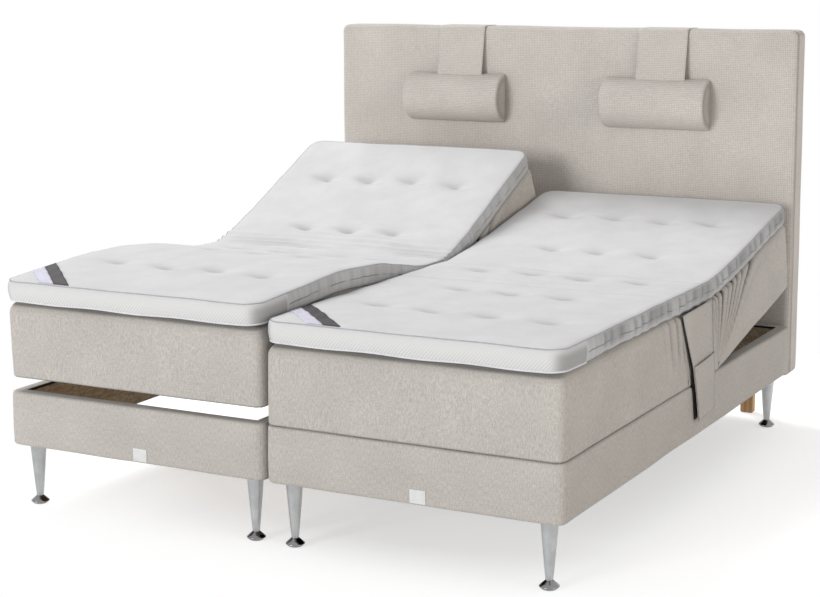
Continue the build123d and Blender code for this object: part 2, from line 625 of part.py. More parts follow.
def drive(side):
    """Build the twin-drive housing that hangs on both torsion tubes."""
    low_y, high_y = THIGH_LIFT_Y - DRIVE_END, HEAD_LIFT_Y + DRIVE_END
    beam_bottom = UNDERSIDE_Z - BEAM_SIZE
    ear_top = LIFT_AXIS_Z + TUBE_DIAMETER / 2 + 5
    valley_low = SEAT_MIDDLE_Y - BEAM_SPACING / 2 - BEAM_SIZE / 2 - 3
    valley_high = SEAT_MIDDLE_Y + BEAM_SPACING / 2 + BEAM_SIZE / 2 + 3
    bottom = LIFT_AXIS_Z - DRIVE_DEPTH
    half = DRIVE_WIDTH / 2
    shape = prism([(low_y, ear_top), (low_y, LIFT_AXIS_Z - 20), (low_y + 25, bottom), (high_y - 25, bottom),
                   (high_y, LIFT_AXIS_Z - 20), (high_y, ear_top), (valley_high, ear_top),
                   (valley_high, beam_bottom), (valley_low, beam_bottom), (valley_low, ear_top)], -half, half)
    long_edges = shape.edges().filter_by(Axis.X).group_by(Axis.Z)[0]
    shape = fillet(long_edges, DRIVE_SHELL_RADIUS)
    for y in (THIGH_LIFT_Y, HEAD_LIFT_Y):
        shape -= rod(TUBE_DIAMETER + 2 * RUNNING_CLEARANCE, -half - 1, half + 1, y, LIFT_AXIS_Z)
    for y in (SEAT_MIDDLE_Y - SOCKET_WIDTH, SEAT_MIDDLE_Y + SOCKET_WIDTH):
        z = LIFT_AXIS_Z - DRIVE_DEPTH / 2
        shape -= block((half - SOCKET_DEPTH, y - SOCKET_WIDTH / 2, z - SOCKET_HEIGHT / 2),
                       (half + 1, y + SOCKET_WIDTH / 2, z + SOCKET_HEIGHT / 2))
    keep("drive_housings", along_unit(side, shape))


def stay_point(thigh):
    """Give the (y, z) place of the calf pin for a thigh angle."""
    point = (KNEE_HINGE_Y - STAY_REACH, PIN_Z - STAY_DROP)
    point = turn_point(point, KNEE_HINGE_Y, PIN_Z, KNEE_RATIO * thigh)
    return turn_point(point, THIGH_HINGE_Y, PIN_Z, -thigh)


def stay_length():
    """Give the stay's length between its pivots."""
    y, z = stay_point(0)
    return hypot(y - STAY_PIVOT_Y, z - STAY_PIVOT_Z)


def stay_angle(thigh):
    """Give the stay's rise above level for a thigh angle."""
    y, z = stay_point(thigh)
    return degrees(atan2(z - STAY_PIVOT_Z, STAY_PIVOT_Y - y))


def stay_ratio():
    """Give the constant ratio of stay angle to thigh angle."""
    return (stay_angle(THIGH_MAX) - stay_angle(0)) / THIGH_MAX


def stays(side):
    """Build the two stays that hold up the calf section and their pivot pins."""
    x = UNIT_WIDTH / 2 - RIM - STAY_RAIL_GAP
    length = stay_length()
    link = hull_plate([(STAY_PIVOT_Y, STAY_PIVOT_Z, STAY_WIDTH / 2),
                       (STAY_PIVOT_Y - length, STAY_PIVOT_Z, STAY_WIDTH / 2)],
                      x - STAY_THICKNESS / 2, STAY_THICKNESS)
    link -= rod(STAY_PIN_DIAMETER + 2 * PIN_CLEARANCE, x - STAY_THICKNESS, x + STAY_THICKNESS,
                STAY_PIVOT_Y, STAY_PIVOT_Z)
    link -= rod(STAY_PIN_DIAMETER + 2 * STAY_EYE_CLEARANCE, x - STAY_THICKNESS, x + STAY_THICKNESS,
                STAY_PIVOT_Y - length, STAY_PIVOT_Z)
    rise = stay_angle(0) + stay_ratio() * REST_THIGH[side]
    link = turn(link, STAY_PIVOT_Y, STAY_PIVOT_Z, -rise)
    rail = UNIT_WIDTH / 2 - RIM
    pin = rod(STAY_PIN_DIAMETER, x - STAY_THICKNESS / 2 - PIN_HEAD_HEIGHT, rail, STAY_PIVOT_Y, STAY_PIVOT_Z)
    pin += block((rail - STAY_FLANGE_THICKNESS, STAY_PIVOT_Y - STAY_FLANGE / 2, STAY_PIVOT_Z - STAY_FLANGE / 2),
                 (rail, STAY_PIVOT_Y + STAY_FLANGE / 2, STAY_PIVOT_Z + STAY_WIDTH))
    for s in (-1, 1):
        keep(f"{side}_calf_stays", along_unit(side, link if s > 0 else mirror(link, Plane.YZ)))
        keep("hinge_pins", along_unit(side, pin if s > 0 else mirror(pin, Plane.YZ)))


# ---------------------------------------------------------------- headboard
def bolt_places():
    """List the x places of a unit's headboard bolts from its middle."""
    return (-BOLT_SPACING / 2, BOLT_SPACING / 2)


def bolt_level():
    """Give the height of the headboard bolts."""
    return LEG_HEIGHT + FRAME_HEIGHT / 2


def headboard():
    """Build the padded headboard on its core, with battens and bolts."""
    half = HEADBOARD_WIDTH / 2
    core = block((-half + HEADBOARD_EDGE_PADDING, HEADBOARD_FRONT + HEADBOARD_PADDING,
                  LEG_HEIGHT + HEADBOARD_EDGE_PADDING),
                 (half - HEADBOARD_EDGE_PADDING, HEADBOARD_BACK, HEADBOARD_TOP - HEADBOARD_EDGE_PADDING))
    cover = block((-half, HEADBOARD_FRONT, LEG_HEIGHT), (half, HEADBOARD_BACK, HEADBOARD_TOP))
    cover = fillet(cover.edges().filter_by(Axis.Y), HEADBOARD_RADIUS)
    cover = fillet(cover.faces().sort_by(Axis.Y)[0].edges(), HEADBOARD_FRONT_RADIUS)
    cover -= core
    hole = BOLT_DIAMETER + 2 * BOLT_HOLE_CLEARANCE
    end = HEADBOARD_FRONT + HEADBOARD_PADDING + BOLT_BITE
    inner_face = UNIT_LENGTH - RIM
    for side in SIDES:
        for offset in bolt_places():
            x = UNIT_CENTRE[side] + offset
            cover -= bar_y(hole, x, HEADBOARD_FRONT - 1, end + 2, bolt_level())
            core -= bar_y(hole, x, HEADBOARD_FRONT, end + 2, bolt_level())
            bolt = bar_y(BOLT_DIAMETER, x, inner_face - 1, end, bolt_level())
            bolt += bar_y(BOLT_HEAD_DIAMETER, x, inner_face - BOLT_HEAD_HEIGHT, inner_face, bolt_level())
            keep("headboard_bolts", bolt)
    keep("headboard_core", core)
    keep("headboard_cover", cover)
    for x in (-BATTEN_OFFSET, BATTEN_OFFSET):
        batten = block((x - BATTEN_WIDTH / 2, HEADBOARD_BACK, 0),
                       (x + BATTEN_WIDTH / 2, HEADBOARD_BACK + BATTEN_DEPTH, BATTEN_TOP))
        keep("headboard_battens", chamfer(batten.faces().sort_by(Axis.Z)[0].edges(), 3))


def strap_path():
    """Give the strap's line from the cushion over the headboard to the weight."""
    off = CONTACT_GAP + STRAP_THICKNESS / 2
    radius = HEADBOARD_FRONT_RADIUS + off
    front_y, back_y = HEADBOARD_FRONT - off, HEADBOARD_BACK + off
    top_z = HEADBOARD_TOP + off
    low_z = CUSHION_CENTRE_Z + (CUSHION_RADIUS ** 2 - STRAP_STANDOFF ** 2) ** 0.5 + STRAP_THICKNESS
    start = (front_y - STRAP_STANDOFF, low_z)
    centre = (front_y + radius, top_z - radius)
    lean = degrees(atan2(STRAP_STANDOFF, centre[1] - low_z))
    bend = CenterArc(centre, radius, 90, 90 - lean)
    path = Line(start, bend @ 1) + bend + Line((centre[0], top_z), (back_y, top_z))
    return path + Line((back_y, top_z), (back_y, top_z - STRAP_BACK_DROP))


def cushions():
    """Build the neck cushions, their straps and the weights behind the headboard."""
    back_face = HEADBOARD_FRONT - CONTACT_GAP
    profile = Plane.YZ.offset(-CUSHION_WIDTH / 2) * (
        Pos(back_face, CUSHION_CENTRE_Z) * Circle(CUSHION_RADIUS)
        & Pos(back_face, CUSHION_CENTRE_Z) * Rectangle(
            CUSHION_RADIUS, 2 * CUSHION_RADIUS, align=(Align.MAX, Align.CENTER)))
    cushion = extrude(profile, CUSHION_WIDTH)
    cushion = chamfer(cushion.faces().sort_by(Axis.X)[0].edges() + cushion.faces().sort_by(Axis.X)[-1].edges(),
                      CUSHION_EDGE_BEVEL)
    band = make_face(offset(strap_path(), STRAP_THICKNESS / 2))
    strap = extrude(Plane.YZ.offset(-STRAP_WIDTH / 2) * band, STRAP_WIDTH)
    weight_top = HEADBOARD_TOP - STRAP_BACK_DROP
    weight_front = HEADBOARD_BACK + CONTACT_GAP
    weight = block((-WEIGHT_WIDTH / 2, weight_front, weight_top - WEIGHT_HEIGHT),
                   (WEIGHT_WIDTH / 2, weight_front + WEIGHT_DEPTH, weight_top))
    weight = fillet(weight.edges().filter_by(Axis.X), WEIGHT_RADIUS)
    for side in SIDES:
        place = Pos(OUTWARD[side] * CUSHION_OFFSET, 0, 0)
        keep(f"{side}_neck_cushion", place * cushion)
        keep("cushion_straps", place * strap)
        keep(f"{side}_counterweight", place * weight)


# ---------------------------------------------------------------- small pieces
def pocket(side):
    """Build the cloth strap and open bag that hold a handset beside the seat."""
    face = CONTACT_GAP
    top = BOX_TOP - BOX_TOP_BEVEL
    low_y = POCKET_CENTRE_Y - POCKET_TOP_WIDTH / 2
    bag_low = POCKET_CENTRE_Y + POCKET_BAG_SHIFT - POCKET_BAG_WIDTH / 2
    bag_high = bag_low + POCKET_BAG_WIDTH
    mouth = POCKET_BAG_BOTTOM + POCKET_BAG_HEIGHT
    strap = prism([(low_y, top), (bag_low, mouth), (bag_low, POCKET_BAG_BOTTOM), (bag_high, POCKET_BAG_BOTTOM),
                   (bag_high, mouth), (low_y + POCKET_TOP_WIDTH, top)], face, face + POCKET_CLOTH)
    bag = block((face, bag_low, POCKET_BAG_BOTTOM), (face + POCKET_DEPTH, bag_high, mouth))
    bag = fillet(bag.edges().filter_by(Axis.Y).group_by(Axis.X)[-1].sort_by(Axis.Z)[0], POCKET_DEPTH / 2)
    bag -= block((face + POCKET_CLOTH, bag_low + POCKET_CLOTH, POCKET_BAG_BOTTOM + POCKET_DEPTH / 2),
                 (face + POCKET_DEPTH - POCKET_CLOTH, bag_high - POCKET_CLOTH, mouth + 1))
    shape = Pos(UNIT_WIDTH / 2, 0, 0) * (strap + bag)
    if OUTWARD[side] < 0:
        shape = mirror(shape, Plane.YZ)
    keep(f"{side}_handset_pocket", along_unit(side, shape))


def trim_plate(side):
    """Build the plain metal plate on the foot end of a lower frame."""
    x = PLATE_SHIFT
    plate = block((x - PLATE_WIDTH / 2, -PLATE_THICKNESS, LEG_HEIGHT + PLATE_RISE),
                  (x + PLATE_WIDTH / 2, 0, LEG_HEIGHT + PLATE_RISE + PLATE_HEIGHT))
    keep("trim_plates", along_unit(side, fillet(plate.edges().filter_by(Axis.Y), 2)))


for unit in SIDES:
    lower_frame(unit)
    legs(unit)
    cross_beams(unit)
    drive(unit)
    sections(unit)
    lift(unit, "head", HEAD_LIFT_Y, 1, HEAD_ARM_LENGTH, HEAD_ARM_CRANK_DROP, HEAD_MAX, REST_HEAD[unit])
    lift(unit, "thigh", THIGH_LIFT_Y, -1, THIGH_ARM_LENGTH, THIGH_ARM_CRANK_DROP, THIGH_MAX, REST_THIGH[unit])
    stays(unit)
    pocket(unit)
    trim_plate(unit)
headboard()
cushions()

extent = Compound([solid for solids in pieces.values() for solid in solids]).bounding_box()
shift = Pos(0, -(extent.min.Y + extent.max.Y) / 2, 0)
os.makedirs("parts", exist_ok=True)
for name, solids in pieces.items():
    moved = [shift * solid for solid in solids]
    export_step(moved[0] if len(moved) == 1 else Compound(moved), f"parts/{name}.step")
print(f"{len(pieces)} sub-parts, foot end at y = {-(extent.min.Y + extent.max.Y) / 2:.3f}")
print(f"lift ratios: head {lift_ratio(HEAD_ARM_LENGTH, HEAD_MAX):.5f}, "
      f"thigh {lift_ratio(THIGH_ARM_LENGTH, THIGH_MAX):.5f}, stay {stay_ratio():.5f}")
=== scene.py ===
"""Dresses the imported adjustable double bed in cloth, foam, metal and board.

The rigid frame comes from the CAD model. Every upholstered piece is made here: the padded boxes,
the tufted toppers, the skins of the lower frames, the headboard, the neck cushions on their straps
and the handset pockets. All lengths are in metres, in the frame of the CAD model.
"""

import json
import logging
import math
from dataclasses import dataclass, field
from enum import Enum
from typing import Callable, Sequence

import bmesh
import bpy
import numpy as np
from mathutils import Matrix, Vector


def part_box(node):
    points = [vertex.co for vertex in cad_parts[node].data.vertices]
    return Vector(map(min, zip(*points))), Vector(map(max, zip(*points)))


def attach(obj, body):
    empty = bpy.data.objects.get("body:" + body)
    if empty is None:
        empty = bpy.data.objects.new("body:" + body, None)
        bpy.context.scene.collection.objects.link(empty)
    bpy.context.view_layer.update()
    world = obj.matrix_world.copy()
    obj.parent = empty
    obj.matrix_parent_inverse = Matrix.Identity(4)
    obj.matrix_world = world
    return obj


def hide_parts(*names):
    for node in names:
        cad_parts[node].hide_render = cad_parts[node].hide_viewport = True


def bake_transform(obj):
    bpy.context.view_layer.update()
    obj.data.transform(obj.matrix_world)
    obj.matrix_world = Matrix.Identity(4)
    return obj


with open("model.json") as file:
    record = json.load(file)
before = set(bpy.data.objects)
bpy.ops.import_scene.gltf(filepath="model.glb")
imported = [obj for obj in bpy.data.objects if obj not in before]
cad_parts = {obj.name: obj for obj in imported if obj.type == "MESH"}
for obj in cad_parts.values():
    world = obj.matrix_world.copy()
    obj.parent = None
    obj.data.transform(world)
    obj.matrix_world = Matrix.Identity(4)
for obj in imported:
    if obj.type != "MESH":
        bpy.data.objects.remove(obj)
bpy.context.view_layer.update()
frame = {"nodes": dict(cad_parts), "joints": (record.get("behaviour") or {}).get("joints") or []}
LOG = logging.getLogger("bed")
Array = np.ndarray
Material = bpy.types.Material
Piece = bpy.types.Object
Socket = bpy.types.NodeSocket
UNIT_LENGTH = 2.0
UNIT_HALF_WIDTH = 0.450
LEVEL = 1e-9
WELD = 1e-6
CUT_GAP = 0.0006


class Side(Enum):
    """The two bed units, by the side on which they stand."""

    LEFT = "left"
    RIGHT = "right"

    @property
    def outward(self) -> float:
        """Direction along X that points away from the middle of the bed."""
        return -1.0 if self is Side.LEFT else 1.0


class Section(Enum):
    """The four hinged parts of a unit."""

    HEAD = "head"
    SEAT = "seat"
    THIGH = "thigh"
    CALF = "calf"


def joint(name: str) -> dict:
    """Find a CAD joint by its name."""
    return next(entry for entry in frame["joints"] if entry["name"] == name)


def smooth(t: Array) -> Array:
    """Ease a value from 0 to 1 with level ends."""
    t = np.clip(t, 0.0, 1.0)
    return t * t * (3.0 - 2.0 * t)


def bump(t: Array) -> Array:
    """Give a bell that is 1 at 0 and 0 beyond 1 either way."""
    return smooth(1.0 - np.abs(t))


def fading(distance: Array, reach: float) -> Array:
    """Give a share that is 1 up to 0 and dies away beyond it."""
    return np.exp(-np.clip(distance, 0, None) / reach)


def bell(offset: Array, width: float) -> Array:
    """Give a share that is 1 at 0 and dies away either side."""
    return np.exp(-(offset / width) ** 2)


def ripple(points: Array, seed: int, size: float, waves: int = 7) -> Array:
    """Give a smooth random field from a few crossing waves.

    Args:
        points: places, one row each.
        seed: number that fixes the waves.
        size: rough distance between one swell and the next.
        waves: how many waves are added.

    Returns:
        One value per place, mostly between -1 and 1.
    """
    chance = np.random.default_rng(seed)
    total = np.zeros(len(points))
    for _ in range(waves):
        direction = chance.normal(size=points.shape[1])
        direction /= np.linalg.norm(direction)
        pitch = 2.0 * math.pi / (size * chance.uniform(0.7, 1.6))
        total += np.sin(points @ direction * pitch + chance.uniform(0.0, 2.0 * math.pi))
    return total / math.sqrt(waves) / 1.2


def turned(points: Array, pin: Sequence[float], angle: Array | float) -> Array:
    """Turn (y, z) places about a pin that runs along X.

    Args:
        points: rows of (y, z).
        pin: the pin's (y, z).
        angle: turn in radians, one for all or one for each row.

    Returns:
        The turned rows.
    """
    cosine, sine = np.cos(angle), np.sin(angle)
    dy, dz = points[:, 0] - pin[0], points[:, 1] - pin[1]
    return np.stack([pin[0] + dy * cosine - dz * sine, pin[1] + dy * sine + dz * cosine], axis=1)


# ------------------------------------------------------------------ meshes
@dataclass
class Lattice:
    """Outer skin of a block of cells, from three rows of coordinates."""

    xs: Array
    ys: Array
    zs: Array

    def build(self) -> tuple[Array, Array]:
        """Make the skin.

        Returns:
            The corner places and the four-sided faces, which point outwards.
        """
        nx, ny, nz = len(self.xs), len(self.ys), len(self.zs)
        index = -np.ones((nx, ny, nz), dtype=np.int64)
        skin = np.zeros((nx, ny, nz), dtype=bool)
        skin[0], skin[-1], skin[:, 0], skin[:, -1], skin[:, :, 0], skin[:, :, -1] = (True,) * 6
        index[skin] = np.arange(skin.sum())
        i, j, k = np.nonzero(skin)
        places = np.stack([self.xs[i], self.ys[j], self.zs[k]], axis=1)
        faces = []
        for plate, flip in (
            (index[0], True), (index[-1], False), (index[:, 0], False),
            (index[:, -1], True), (index[:, :, 0], True), (index[:, :, -1], False),
        ):
            faces.append(quads(plate)[:, ::-1] if flip else quads(plate))
        return places, np.concatenate(faces)


def quads(grid: Array) -> Array:
    """Give the four-sided faces of a grid of corner numbers."""
    return np.stack([grid[:-1, :-1], grid[1:, :-1], grid[1:, 1:], grid[:-1, 1:]], axis=-1).reshape(-1, 4)


def band(grid: Array) -> Array:
    """Give the four-sided faces between rows of corner numbers that each close into a ring."""
    after = np.roll(grid, -1, axis=1)
    return np.stack([grid[:-1], after[:-1], after[1:], grid[1:]], axis=-1).reshape(-1, 4)


def square_to(corners: Array, axis: int) -> Array:
    """Mark the faces whose corners all share one coordinate."""
    return np.ptp(corners[:, :, axis], axis=1) < LEVEL


def rows(low: float, high: float, pitch: float, fine: float = 0.0) -> Array:
    """Space coordinates evenly, with closer ones near both ends.

    Args:
        low: first coordinate.
        high: last coordinate.
        pitch: usual spacing.
        fine: length at each end that gets closer spacing.

    Returns:
        The coordinates in rising order.
    """
    if not fine:
        return np.linspace(low, high, max(2, int(round((high - low) / pitch)) + 1))
    ends = np.array([0.0, 0.08, 0.2, 0.36, 0.55, 0.77]) * fine
    middle = np.linspace(low + fine, high - fine, max(2, int(round((high - low - 2 * fine) / pitch)) + 1))
    return np.concatenate([low + ends, middle, (high - ends)[::-1]])


def shown(name: str, data: bpy.types.ID) -> Piece:
    """Make an object that holds some data, linked to the scene.

    Args:
        name: the object's name.
        data: its mesh, curve, lamp or camera.

    Returns:
        The new object.
    """
    piece = bpy.data.objects.new(name, data)
    bpy.context.scene.collection.objects.link(piece)
    return piece


def mesh_object(name: str, places: Array, faces: Array, smooth_shading: bool = True) -> Piece:
    """Make a mesh object with its place in its mesh.

    Args:
        name: the piece's name.
        places: corner places.
        faces: rows of corner numbers.
        smooth_shading: whether faces are shaded smooth.

    Returns:
        The new object, linked to the scene.
    """
    mesh = bpy.data.meshes.new(name)
    mesh.from_pydata(places.tolist(), [], faces.tolist())
    mesh.validate()
    mesh.update()
    mesh.polygons.foreach_set("use_smooth", [smooth_shading] * len(mesh.polygons))
    return shown(name, mesh)


def store(piece: Piece, name: str, values: Array) -> None:
    """Keep one vector per corner on a mesh for its material to read."""
    attribute = piece.data.attributes.new(name, "FLOAT_VECTOR", "POINT")
    attribute.data.foreach_set("vector", values.astype(np.float32).ravel())


def dress(piece: Piece, cloth: Array, *finishes: Material) -> None:
    """Give a mesh its cloth coordinates and its finishes."""
    store(piece, "cloth", cloth)
    for finish in finishes:
        piece.data.materials.append(finish)


def crease(piece: Piece, depth: Array) -> None:
    """Keep painted shade on each corner, from 0 to 1, for the cloth to darken there: shade in folds, creases and
    gaps painted into the colour.
    """
    store(piece, "crease", np.repeat(np.clip(depth, 0.0, 1.0)[:, None], 3, axis=1))


def outward(piece: Piece) -> None:
    """Point a closed mesh's faces outwards."""
    work = bmesh.new()
    work.from_mesh(piece.data)
    bmesh.ops.remove_doubles(work, verts=work.verts, dist=WELD)
    bmesh.ops.recalc_face_normals(work, faces=work.faces)
    work.to_mesh(piece.data)
    work.free()
    piece.data.update()


def applied(piece: Piece) -> Piece:
    """Bake a piece's modifiers into its mesh.

    Args:
        piece: the object with live modifiers.

    Returns:
        The same object with a plain mesh.
    """
    bpy.context.view_layer.update()
    graph = bpy.context.evaluated_depsgraph_get()
    mesh = bpy.data.meshes.new_from_object(piece.evaluated_get(graph), preserve_all_data_layers=True,
                                           depsgraph=graph)
    piece.modifiers.clear()
    piece.data = mesh
    return piece


def thicken(piece: Piece, thickness: float, offset: float = 0.0) -> None:
    """Give a thin sheet its thickness and point its faces outwards.

    Args:
        piece: the sheet.
        thickness: how thick it becomes.
        offset: 0 to grow both ways, -1 to grow inwards.
    """
    thick = piece.modifiers.new("thickness", "SOLIDIFY")
    thick.thickness, thick.offset = thickness, offset
    applied(piece)
    outward(piece)


@dataclass
class RoundedPlan:
    """Rounding of a block's upright corners and of its top and bottom edges."""

    half_x: float
    low_y: float
    high_y: float
    low_n: float
    high_n: float
    corner: float
    top_edge: float | Array
    bottom_edge: float
    round_low: bool = True
    round_high: bool = True

    def apply(self, places: Array) -> tuple[Array, Array, Array, Array]:
        """Round a block.

        Args:
            places: rows of (x, y, n) on the skin of the square block.

        Returns:
            The rounded rows, the outward plan direction, the distance in from the wall and the height share.
        """
        x, y, n = places.T.copy()
        sign_x = np.where(x < 0.0, -1.0, 1.0)
        to_low = y - self.low_y if self.round_low else np.full_like(y, 9.0)
        to_high = self.high_y - y if self.round_high else np.full_like(y, 9.0)
        sign_y = np.where(to_low < to_high, -1.0, 1.0)
        in_x, in_y = self.half_x - np.abs(x), np.minimum(to_low, to_high)
        dx, dy = np.maximum(self.corner - in_x, 0.0), np.maximum(self.corner - in_y, 0.0)
        length = np.maximum(np.hypot(dx, dy), 1e-12)
        in_corner = (dx > 0.0) & (dy > 0.0)
        scale = np.where(in_corner, np.maximum(dx, dy) / length, 1.0)
        new_in_x = np.where(in_corner, self.corner - dx * scale, in_x)
        new_in_y = np.where(in_corner, self.corner - dy * scale, in_y)
        wall = np.minimum(in_x, in_y)
        normal_x = np.where(in_corner, dx / length, np.where(in_x <= in_y, 1.0, 0.0)) * sign_x
        normal_y = np.where(in_corner, dy / length, np.where(in_x <= in_y, 0.0, 1.0)) * sign_y
        x = (self.half_x - new_in_x) * sign_x
        y = np.where(in_corner, np.where(sign_y < 0, self.low_y + new_in_y, self.high_y - new_in_y), y)
        for edge, depth, rise in (
            (self.top_edge, self.high_n - n, -1.0),
            (self.bottom_edge, n - self.low_n, 1.0),
        ):
            sx, sn = np.maximum(edge - wall, 0.0), np.maximum(edge - depth, 0.0)
            size = np.maximum(np.hypot(sx, sn), 1e-12)
            near = (sx > 0.0) & (sn > 0.0)
            factor = np.where(near, np.maximum(sx, sn) / size, 1.0)
            moved = np.where(near, sx * (1.0 - factor), 0.0)
            x -= normal_x * moved
            y -= normal_y * moved
            n += np.where(near, rise * sn * (1.0 - factor), 0.0)
        share = (n - self.low_n) / (self.high_n - self.low_n)
        return np.stack([x, y, n], axis=1), np.stack([normal_x, normal_y], axis=1), wall, share


# ------------------------------------------------------------------ finishes
class NodeBench:
    """Builds one material's nodes."""

    def __init__(self, name: str) -> None:
        """Start an empty material.

        Args:
            name: the material's name.
        """
        self.material = bpy.data.materials.new(name)
        self.material.use_nodes = True
        self.tree = self.material.node_tree
        self.tree.nodes.clear()
        self.shader = self.add("ShaderNodeBsdfPrincipled")
        self.output = self.add("ShaderNodeOutputMaterial")
        self.link(self.shader.outputs[0], self.output.inputs[0])

    def add(self, kind: str, inputs: dict | None = None, **settings: object) -> bpy.types.Node:
        """Add one node.

        Args:
            kind: the node's type.
            inputs: socket values or sockets to link, by name or number.
            settings: the node's own settings.

        Returns:
            The node.
        """
        node = self.tree.nodes.new(kind)
        for key, value in settings.items():
            setattr(node, key, value)
        for key, value in (inputs or {}).items():
            if isinstance(value, Socket):
                self.link(value, node.inputs[key])
            else:
                node.inputs[key].default_value = value
        return node

    def link(self, source: Socket, target: Socket) -> None:
        """Join two sockets."""
        self.tree.links.new(source, target)

    def set(self, **values: object) -> None:
        """Set the shader's own sockets, by name with underscores for spaces."""
        for key, value in values.items():
            self.shader.inputs[key.replace("_", " ")].default_value = value

    def paint(self, colour: Socket) -> None:
        """Use a colour as the shader's own."""
        self.link(colour, self.shader.inputs["Base Color"])

    def place(self, attribute: str | None, scale: Sequence[float]) -> Socket:
        """Give pattern coordinates, scaled, from a mesh attribute or else from Object coordinates."""
        if attribute:
            source = self.stored(attribute, "Vector")
        else:
            source = self.add("ShaderNodeTexCoord").outputs["Object"]
        return self.add("ShaderNodeMapping", {"Vector": source, "Scale": scale}).outputs[0]

    def stored(self, attribute: str, output: str) -> Socket:
        """Read an attribute of the mesh."""
        return self.add("ShaderNodeAttribute", attribute_name=attribute,
                        attribute_type="GEOMETRY").outputs[output]

    def noise(self, attribute: str | None, scale: Sequence[float], detail: float = 2.0,
              rough: float = 0.55) -> Socket:
        """Give a noise value over scaled pattern coordinates."""
        inputs = {"Vector": self.place(attribute, scale), "Scale": 1.0, "Detail": detail, "Roughness": rough}
        return self.add("ShaderNodeTexNoise", inputs).outputs[0]

    def cells(self, attribute: str | None, scale: Sequence[float], output: str) -> Socket:
        """Give one output of a cell pattern over scaled pattern coordinates."""
        inputs = {"Vector": self.place(attribute, scale), "Scale": 1.0}
        return self.add("ShaderNodeTexVoronoi", inputs).outputs[output]

    def threads(self, scale: Sequence[float], axis: str, distortion: float) -> Socket:
        """Give the height of threads that lie side by side along an axis of the cloth."""
        inputs = {"Vector": self.place("cloth", scale), "Scale": 1.0, "Distortion": distortion}
        return self.add("ShaderNodeTexWave", inputs, bands_direction=axis).outputs["Fac"]

    def math(self, operation: str, a: object, b: object = 0.0) -> Socket:
        """Give the result of a math node."""
        return self.add("ShaderNodeMath", {0: a, 1: b}, operation=operation).outputs[0]

    def weighed(self, *parts: tuple[Socket, float]) -> Socket:
        """Add up values, each times its weight."""
        total, *others = [value if weight == 1.0 else self.math("MULTIPLY", value, weight)
                          for value, weight in parts]
        for other in others:
            total = self.math("ADD", total, other)
        return total

    def mix(self, share: object, a: object, b: object, blend: str = "MIX") -> Socket:
        """Mix two colours."""
        return self.add("ShaderNodeMix", {0: share, 6: a, 7: b}, data_type="RGBA", blend_type=blend).outputs[2]

    def dimmed(self, colour: Socket, light: Socket) -> Socket:
        """Multiply a colour by a value."""
        grey = self.add("ShaderNodeCombineColor", {0: light, 1: light, 2: light}).outputs[0]
        return self.mix(1.0, colour, grey, "MULTIPLY")

    def level(self, value: Socket, low: float, high: float, to_low: float = 0.0, to_high: float = 1.0) -> Socket:
        """Stretch a value from one span to another, clamped."""
        return self.add("ShaderNodeMapRange", {0: value, 1: low, 2: high, 3: to_low, 4: to_high}).outputs[0]

    def shaded(self, colour: Socket, depth: float) -> Socket:
        """Darken a colour by the painted shade stored on the mesh, in its folds, creases and gaps."""
        return self.dimmed(colour, self.level(self.stored("crease", "Fac"), 0.0, 1.0, 1.0, 1.0 - depth))

    def raise_surface(self, height: Socket, strength: float, distance: float) -> None:
        """Bump the surface by a height value."""
        node = self.add("ShaderNodeBump", {"Strength": strength, "Distance": distance, "Height": height})
        self.link(node.outputs[0], self.shader.inputs["Normal"])


def linear(red: int, green: int, blue: int) -> tuple[float, float, float, float]:
    """Turn an 8-bit screen colour into a linear one."""
    shares = (value / 255.0 for value in (red, green, blue))
    return *(share / 12.92 if share <= 0.04045 else ((share + 0.055) / 1.055) ** 2.4 for share in shares), 1.0


def scaled(colour: Sequence[float], factor: float, plus: float = 0.0) -> tuple[float, ...]:
    """Make a linear colour lighter or darker."""
    return *(min(channel * factor + plus, 1.0) for channel in colour[:3]), 1.0


@dataclass(frozen=True)
class Finish:
    """One material, made from a main colour."""

    name: str
    shade: tuple[int, int, int]

    def make(self) -> Material:
        """Build the material.

        Returns:
            The finished material.
        """
        bench = NodeBench(self.name)
        self.lay_out(bench, linear(*self.shade))
        return bench.material

    def lay_out(self, bench: NodeBench, base: Sequence[float]) -> None:
        """Set up the nodes on a bench, from the main colour in linear shares."""
        raise NotImplementedError


@dataclass(frozen=True)
class WovenCloth(Finish):
    """Melange upholstery cloth with upright slubs, or a coarser square weave."""

    square: bool = False

    def lay_out(self, bench: NodeBench, base: Sequence[float]) -> None:
        """Set up the nodes."""
        body = bench.noise("cloth", (360, 360, 85))
        fine = bench.noise("cloth", (430, 430, 330))
        if self.square:
            body = bench.weighed((body, 0.5), (bench.noise("cloth", (40, 40, 420)), 0.5))
        mixed = bench.weighed((body, 0.55), (fine, 0.45))
        if self.square:
            grid = bench.weighed(*((bench.threads((50, 50, 50), axis, 0.7), 1.0) for axis in "XZ"))
            mixed = bench.weighed((mixed, 1.0), (bench.math("SUBTRACT", grid, 1.0), 0.15))
        broad = bench.level(bench.noise("cloth", (5, 5, 5)), 0.3, 0.7, 0.95, 1.05)
        colour = bench.mix(bench.level(mixed, 0.38, 0.62), scaled(base, 0.80), scaled(base, 1.12))
        # painted shade in folds and gaps, read from the mesh
        bench.paint(bench.shaded(bench.dimmed(colour, broad), 0.92))
        weft, warp = bench.threads((90, 90, 40), "Z", 1.2), bench.threads((110, 110, 40), "X", 1.2)
        bench.raise_surface(bench.weighed((weft, 0.4), (mixed, 1.0), (warp, 0.2)), 0.35, 0.0012)
        bench.set(Roughness=0.92, Sheen_Weight=0.18, Sheen_Roughness=0.5, Specular_IOR_Level=0.18)


